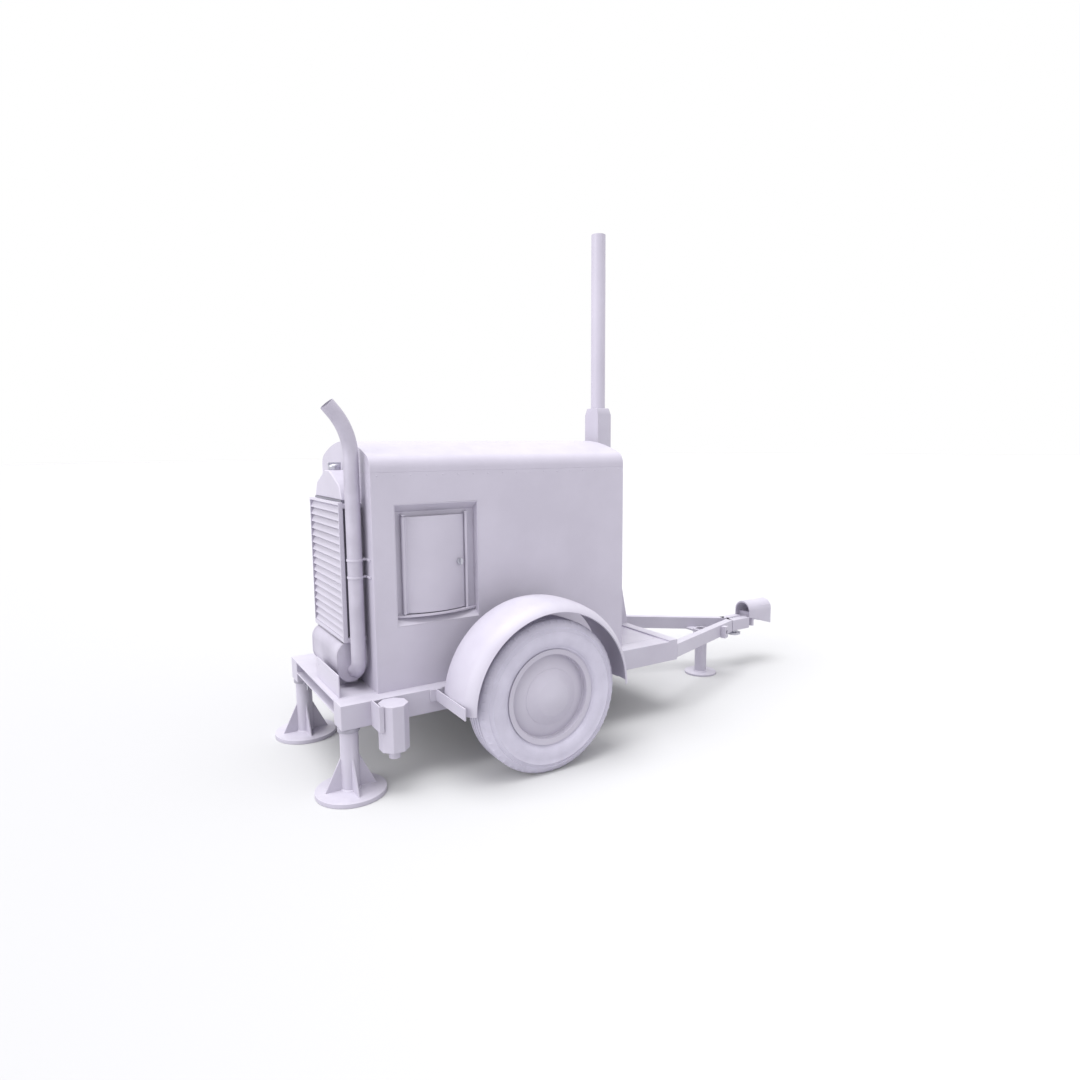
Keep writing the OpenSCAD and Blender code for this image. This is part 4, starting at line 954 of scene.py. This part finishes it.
@dataclass
class Radiator:
    """Louvred guard, finned core, top tank and filler cap."""

    slats: int = 17
    rim: float = 0.020
    slat_gauge: float = 0.0016
    slat_start: float = 0.0002
    fins: int = 70
    fin_gauge: float = 0.0010
    tubes: int = 30
    tube_gauge: float = 0.0022
    channel: float = 0.020
    bottom_tank: float = 0.030
    top_strip: float = 0.018
    cap_height: float = 0.030
    grip_half_width: float = 0.0055

    def guard_frame(self) -> None:
        """Presses the guard's frame, with a rounded outer edge."""
        low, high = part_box("louvre_panel")
        x0, x1 = low[0], high[0]
        side, top = self.rim * 0.35, self.rim * 0.6
        y0, y1 = low[1] + side, high[1] - side
        bm = bmesh.new()
        box_into(bm, (x0, low[1], low[2]), (x1, y0, high[2]))
        box_into(bm, (x0, y1, low[2]), (x1, high[1], high[2]))
        box_into(bm, (x0, y0, low[2]), (x1, y1, low[2] + self.rim))
        box_into(bm, (x0, y0, high[2] - top), (x1, y1, high[2]))
        guard = bevelled(from_bmesh("louvre_frame", bm), 0.0016)
        settle(guard, "louvre_panel", replaces=["louvre_panel"])

    def louvres(self) -> None:
        """Repeats one pressed slat up the guard."""
        low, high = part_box("louvre_panel")
        reach = high[0] - low[0]
        pitch = (high[2] - low[2] - self.rim * 1.6) / self.slats
        g = self.slat_gauge
        face = [(reach * a, pitch * b)
                for a, b in ((0.0, 0.06), (0.10, 0.03), (0.30, 0.22), (0.62, 0.60), (0.90, 0.92))]
        section = face + [(x + g, z - g) for x, z in reversed(face)]
        tuck = self.rim * 0.3
        bm = bmesh.new()
        ends = [
            [bm.verts.new((x, y, z)) for x, z in section] for y in (low[1] + tuck, high[1] - tuck)
        ]
        n = len(section)
        for k in range(n):
            bm.faces.new((ends[0][k], ends[0][(k + 1) % n], ends[1][(k + 1) % n], ends[1][k]))
        bm.faces.new(ends[0][::-1])
        bm.faces.new(ends[1])
        seed = from_bmesh("louvre_slats", bm)
        start = (low[0] + self.slat_start, 0.0, low[2] + self.rim)
        row = Repeater("Louvre stack", self.slats, step=(0.0, 0.0, pitch), place=start)
        slats = soften(row.apply(seed, SHOP.finish("housing_enamel")), 40)
        settle(slats, "louvre_panel")

    def core_pack(self, name: str, low: Point, high: Point, run: Point, count: int) -> None:
        """Repeats a thin plate through the core.

        Args:
            name: The piece's name.
            low: The plate's low corner, at the start of the run.
            high: The plate's high corner.
            run: The whole run, along one axis.
            count: Number of plates, spread evenly.
        """
        gap = Vector(run) / count
        bm = bmesh.new()
        box_into(bm, low, high)
        pack = Repeater(name.replace("_", " "), count, step=tuple(gap), place=tuple(gap / 2))
        settle(pack.apply(from_bmesh(name, bm), SHOP.finish("core_metal")), "radiator_core")

    def core(self) -> None:
        """Builds the core: side channels, flat tubes and a pack of fins."""
        low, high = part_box("radiator_core")
        y0, y1 = low[1] + self.channel, high[1] - self.channel
        z0, z1 = low[2] + self.bottom_tank, high[2] - self.top_strip
        bm = bmesh.new()
        box_into(bm, low, (high[0], y0, high[2]))
        box_into(bm, (low[0], y1, low[2]), high)
        box_into(bm, (low[0], y0, low[2]), (high[0], y1, z0))
        box_into(bm, (low[0], y0, z1), (high[0], y1, high[2]))
        channels = bevelled(from_bmesh("core_channels", bm), 0.0015)
        settle(channels, "radiator_core", replaces=["radiator_core"])
        y0, y1, z0, z1 = y0 + MM, y1 - MM, z0 + MM, z1 - MM
        tube, fin = 0.006, 0.003
        self.core_pack(
            "core_tubes", (low[0] + tube, y0, z0), (high[0] - tube, y0 + self.tube_gauge, z1),
            (0.0, y1 - y0, 0.0), self.tubes,
        )
        self.core_pack(
            "core_fins", (low[0] + fin, y0, z0), (high[0] - fin, y1, z0 + self.fin_gauge),
            (0.0, 0.0, z1 - z0), self.fins,
        )

    def cap(self) -> None:
        """Turns the filler cap and sets the grip across it."""
        low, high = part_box("radiator_cap")
        x, y = (low[0] + high[0]) / 2, (low[1] + high[1]) / 2
        r, plug = half_size("radiator_cap", 1), 0.0165
        tank_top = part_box("radiator_top_tank")[1][2]
        base, crown = tank_top + 0.0006, tank_top + self.cap_height
        outline = [
            (0.0, low[2]), (plug, low[2]), (plug + 0.0003, base), (r - 0.0015, base),
            (r, base + 0.0018), (r, crown - 0.010), (r - 0.0012, crown - 0.0065),
            (r - 0.006, crown - 0.0030), (r * 0.55, crown - 0.0008), (0.0, crown),
        ]
        bm = turned(outline, (x, y, 0.0), Axis.Z, 64)
        cap = soften(from_bmesh("filler_cap", bm), 40)
        settle(cap, "radiator_cap", replaces=["radiator_cap"])
        bm = bmesh.new()
        w = self.grip_half_width
        box_into(bm, (low[0], y - w, crown - 0.010), (high[0], y + w, high[2]))
        settle(bevelled(from_bmesh("filler_cap_grip", bm), 0.0022, 3), "radiator_cap")

    def build(self) -> None:
        """Makes every piece of the radiator end."""
        self.guard_frame()
        self.louvres()
        self.core()
        self.cap()
        soften_nodes({"radiator_top_tank": 6.0}, 3)
        soften_nodes({"rear_brackets": 1.4})


@dataclass
class Exhaust:
    """Muffler drum and the swept stack."""

    radius: float = 0.033
    wall: float = 0.003
    elbow: float = 0.060
    bend: float = 0.290
    tilt: float = 40.0
    tip: float = 0.040
    rings: int = 72
    bend_steps: int = 16
    straight_steps: int = 6

    def path(self) -> list[tuple[Vector, Vector]]:
        """Returns points and directions along the stack's centreline, from muffler to open end."""
        low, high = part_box("exhaust_pipe")
        x, y = high[0] - self.radius, low[1] + self.radius
        elbow, bend, tilt = self.elbow, self.bend, math.radians(self.tilt)
        foot = low[2] + self.radius + elbow
        out: list[tuple[Vector, Vector]] = []
        for k in range(self.bend_steps + 1):
            a = math.pi / 2 * k / self.bend_steps
            at = Vector((x, y + elbow - elbow * math.sin(a), foot - elbow * math.cos(a)))
            out.append((at, Vector((0, -math.cos(a), math.sin(a)))))
        drop = self.radius * math.sin(tilt) + self.tip * math.cos(tilt) + bend * math.sin(tilt)
        rise = high[2] - drop
        for k in range(1, self.straight_steps + 1):
            z = foot + (rise - foot) * k / self.straight_steps
            out.append((Vector((x, y, z)), Vector((0, 0, 1))))
        for k in range(1, self.bend_steps + 1):
            a = tilt * k / self.bend_steps
            at = Vector((x - bend + bend * math.cos(a), y, rise + bend * math.sin(a)))
            out.append((at, Vector((-math.sin(a), 0, math.cos(a)))))
        last, way = out[-1]
        out.append((last + way * self.tip, way))
        return out

    def stack(self) -> None:
        """Sweeps the pipe's two walls along the centreline and closes both ends."""
        bm = bmesh.new()
        n = self.rings
        turns = [math.tau * i / n for i in range(n)]
        strips: list[tuple[list, list]] = []
        skins = []
        for radius in (self.radius, self.radius - self.wall):
            skin = []
            u = Vector((1, 0, 0))
            for point, way in self.path():
                u = (u - way * way.dot(u)).normalized()
                v = way.cross(u)
                ring = [point + (u * math.cos(a) + v * math.sin(a)) * radius for a in turns]
                skin.append([bm.verts.new(at) for at in ring])
            skins.append(skin)
            strips += zip(skin, skin[1:])
        strips += [(skins[0][end], skins[1][end]) for end in (0, -1)]
        for a, b in strips:
            for i in range(n):
                bm.faces.new((a[i], a[(i + 1) % n], b[(i + 1) % n], b[i]))
        pipe = soften(from_bmesh("exhaust_stack", bm), 50)
        settle(pipe, "exhaust_pipe", replaces=["exhaust_pipe"])

    def build(self) -> None:
        """Makes the stack and the muffler."""
        self.stack()
        soften_nodes({"muffler": 2.0})


# ---------------------------------------------------------------- mast and power train


@dataclass
class Mast:
    """Post, sliding tube and hand winch; edge rounding in millimetres."""

    post_edge: float = 2.6
    tube_edge: float = 0.4
    crank_edge: float = 1.4

    def build(self) -> None:
        """Softens the mast's pieces."""
        soften_nodes({
            "mast_post": self.post_edge, "mast_tube": self.tube_edge,
            "winch_crank": self.crank_edge,
        })


@dataclass
class PowerTrain:
    """Everything under the canopy; edge rounding in millimetres."""

    casting_edge: float = 5.0
    cover_edge: float = 4.0

    def build(self) -> None:
        """Dresses the engine, generator, tank, battery, fan and belt."""
        soften_nodes({
            "engine_block": self.casting_edge, "cylinder_head": self.cover_edge,
            "oil_sump": self.casting_edge, "air_filter": 3.0,
            "generator_body": self.cover_edge, "fuel_tank": self.casting_edge,
            "battery": 3.0, "crankshaft": 2.0, "cooling_fan": 0.8, "fan_belt": 1.5,
        })


# ---------------------------------------------------------------- studio


@dataclass
class Studio:
    """Floor, lights and camera; the eye is measured from the ground under the axle."""

    lens: float = 23.843
    sensor: float = 36.0
    clip: tuple[float, float] = (0.05, 200.0)
    eye: Point = (-1.6975, -3.3413, 1.4905)
    yaw: float = 31.918
    pitch: float = 7.430
    roll: float = -0.4025
    floor_half: float = 90.0
    floor_gap: float = 0.0006
    floor_colour: str = "#C9C9CB"
    sky_strength: float = 1.0
    overhead_way: Point = (0.17, 0.03, -1.0)
    overhead_strength: float = 2.15
    rear_way: Point = (1.0, 0.04, -0.45)
    rear_strength: float = 1.25
    spread: float = 40.0

    def axle_x(self) -> float:
        """Returns where the wheel axle lies in the shared frame."""
        low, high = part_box("tyre_left")
        return (low[0] + high[0]) / 2

    def camera(self) -> None:
        """Sets the camera on the rear quarter, at eye height."""
        data = bpy.data.cameras.new("studio_camera")
        data.lens, data.sensor_width = self.lens, self.sensor
        data.clip_start, data.clip_end = self.clip
        obj = bpy.data.objects.new("studio_camera", data)
        bpy.context.scene.collection.objects.link(obj)
        y, p, r = (math.radians(a) for a in (self.yaw, self.pitch, self.roll))
        ahead = Vector((math.sin(y) * math.cos(p), math.cos(y) * math.cos(p), -math.sin(p)))
        right = Vector((math.cos(y), -math.sin(y), 0.0))
        up = right.cross(ahead)
        across = right * math.cos(r) + up * math.sin(r)
        over = -right * math.sin(r) + up * math.cos(r)
        turn = Matrix((across, over, -ahead)).transposed()
        eye = Vector(self.eye) + Vector((self.axle_x(), 0, 0))
        obj.matrix_world = Matrix.Translation(eye) @ turn.to_4x4()
        bpy.context.scene.camera = obj

    def floor(self) -> None:
        """Lays a plain pale floor under the machine."""
        bm = bmesh.new()
        s = self.floor_half
        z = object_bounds()[0].z - self.floor_gap
        bm.faces.new([bm.verts.new((x, y, z)) for x, y in ((-s, -s), (s, -s), (s, s), (-s, s))])
        obj = from_bmesh("studio_floor", bm, outward=False)
        material, tree = blank_material("matt_white_floor")
        paint = {"Color": linear(self.floor_colour), "Roughness": 0.6}
        shader = add_node(tree, "ShaderNodeBsdfDiffuse", paint)
        add_node(tree, "ShaderNodeOutputMaterial", {"Surface": shader.outputs[0]})
        obj.data.materials.append(material)
        obj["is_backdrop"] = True

    def sun(self, name: str, way: Point, strength: float) -> None:
        """Adds one broad, soft light that reaches everything alike.

        Args:
            name: The light's name.
            way: The direction that the light travels.
            strength: Irradiance in watts per square metre.
        """
        data = bpy.data.lights.new(name, "SUN")
        data.energy, data.angle = strength, math.radians(self.spread)
        obj = bpy.data.objects.new(name, data)
        bpy.context.scene.collection.objects.link(obj)
        obj.matrix_world = Vector(way).to_track_quat("-Z", "Y").to_matrix().to_4x4()

    def lights(self) -> None:
        """Lights the machine from an even white dome, with broad lights overhead and behind."""
        world = bpy.data.worlds.new("studio_dome")
        bpy.context.scene.world = world
        world.use_nodes = True
        tree = world.node_tree
        tree.nodes.clear()
        white = {"Color": linear("#FFFFFF"), "Strength": self.sky_strength}
        sky = add_node(tree, "ShaderNodeBackground", white)
        add_node(tree, "ShaderNodeOutputWorld", {"Surface": sky.outputs[0]})
        self.sun("overhead_light", self.overhead_way, self.overhead_strength)
        self.sun("rear_light", self.rear_way, self.rear_strength)

    def build(self) -> None:
        """Sets up the whole studio."""
        self.camera()
        self.floor()
        self.lights()
        bpy.context.scene.view_settings.view_transform = "Standard"


def dress_the_rest() -> None:
    """Gives every CAD node that still shows the finish of its record slot."""
    for node, obj in frame["nodes"].items():
        if not obj.hide_render:
            obj.data.materials.clear()
            obj.data.materials.append(SHOP.finish(SHOP.slot_of(node)))


def main() -> None:
    """Builds the studio and the machine in order."""
    logging.basicConfig(level=logging.INFO, format="%(name)s: %(message)s")
    Studio().build()
    running_gear = [part for side in Side for part in (Wheel(side), Mudguard(side))]
    fixed = [Undercarriage(), TowBar(), Canopy(), ControlBay(), Radiator(), Exhaust()]
    for part in running_gear + fixed + [Mast(), PowerTrain()]:
        LOG.info("building %s", type(part).__name__)
        part.build()
    dress_the_rest()


if __name__ == "__main__":
    main()
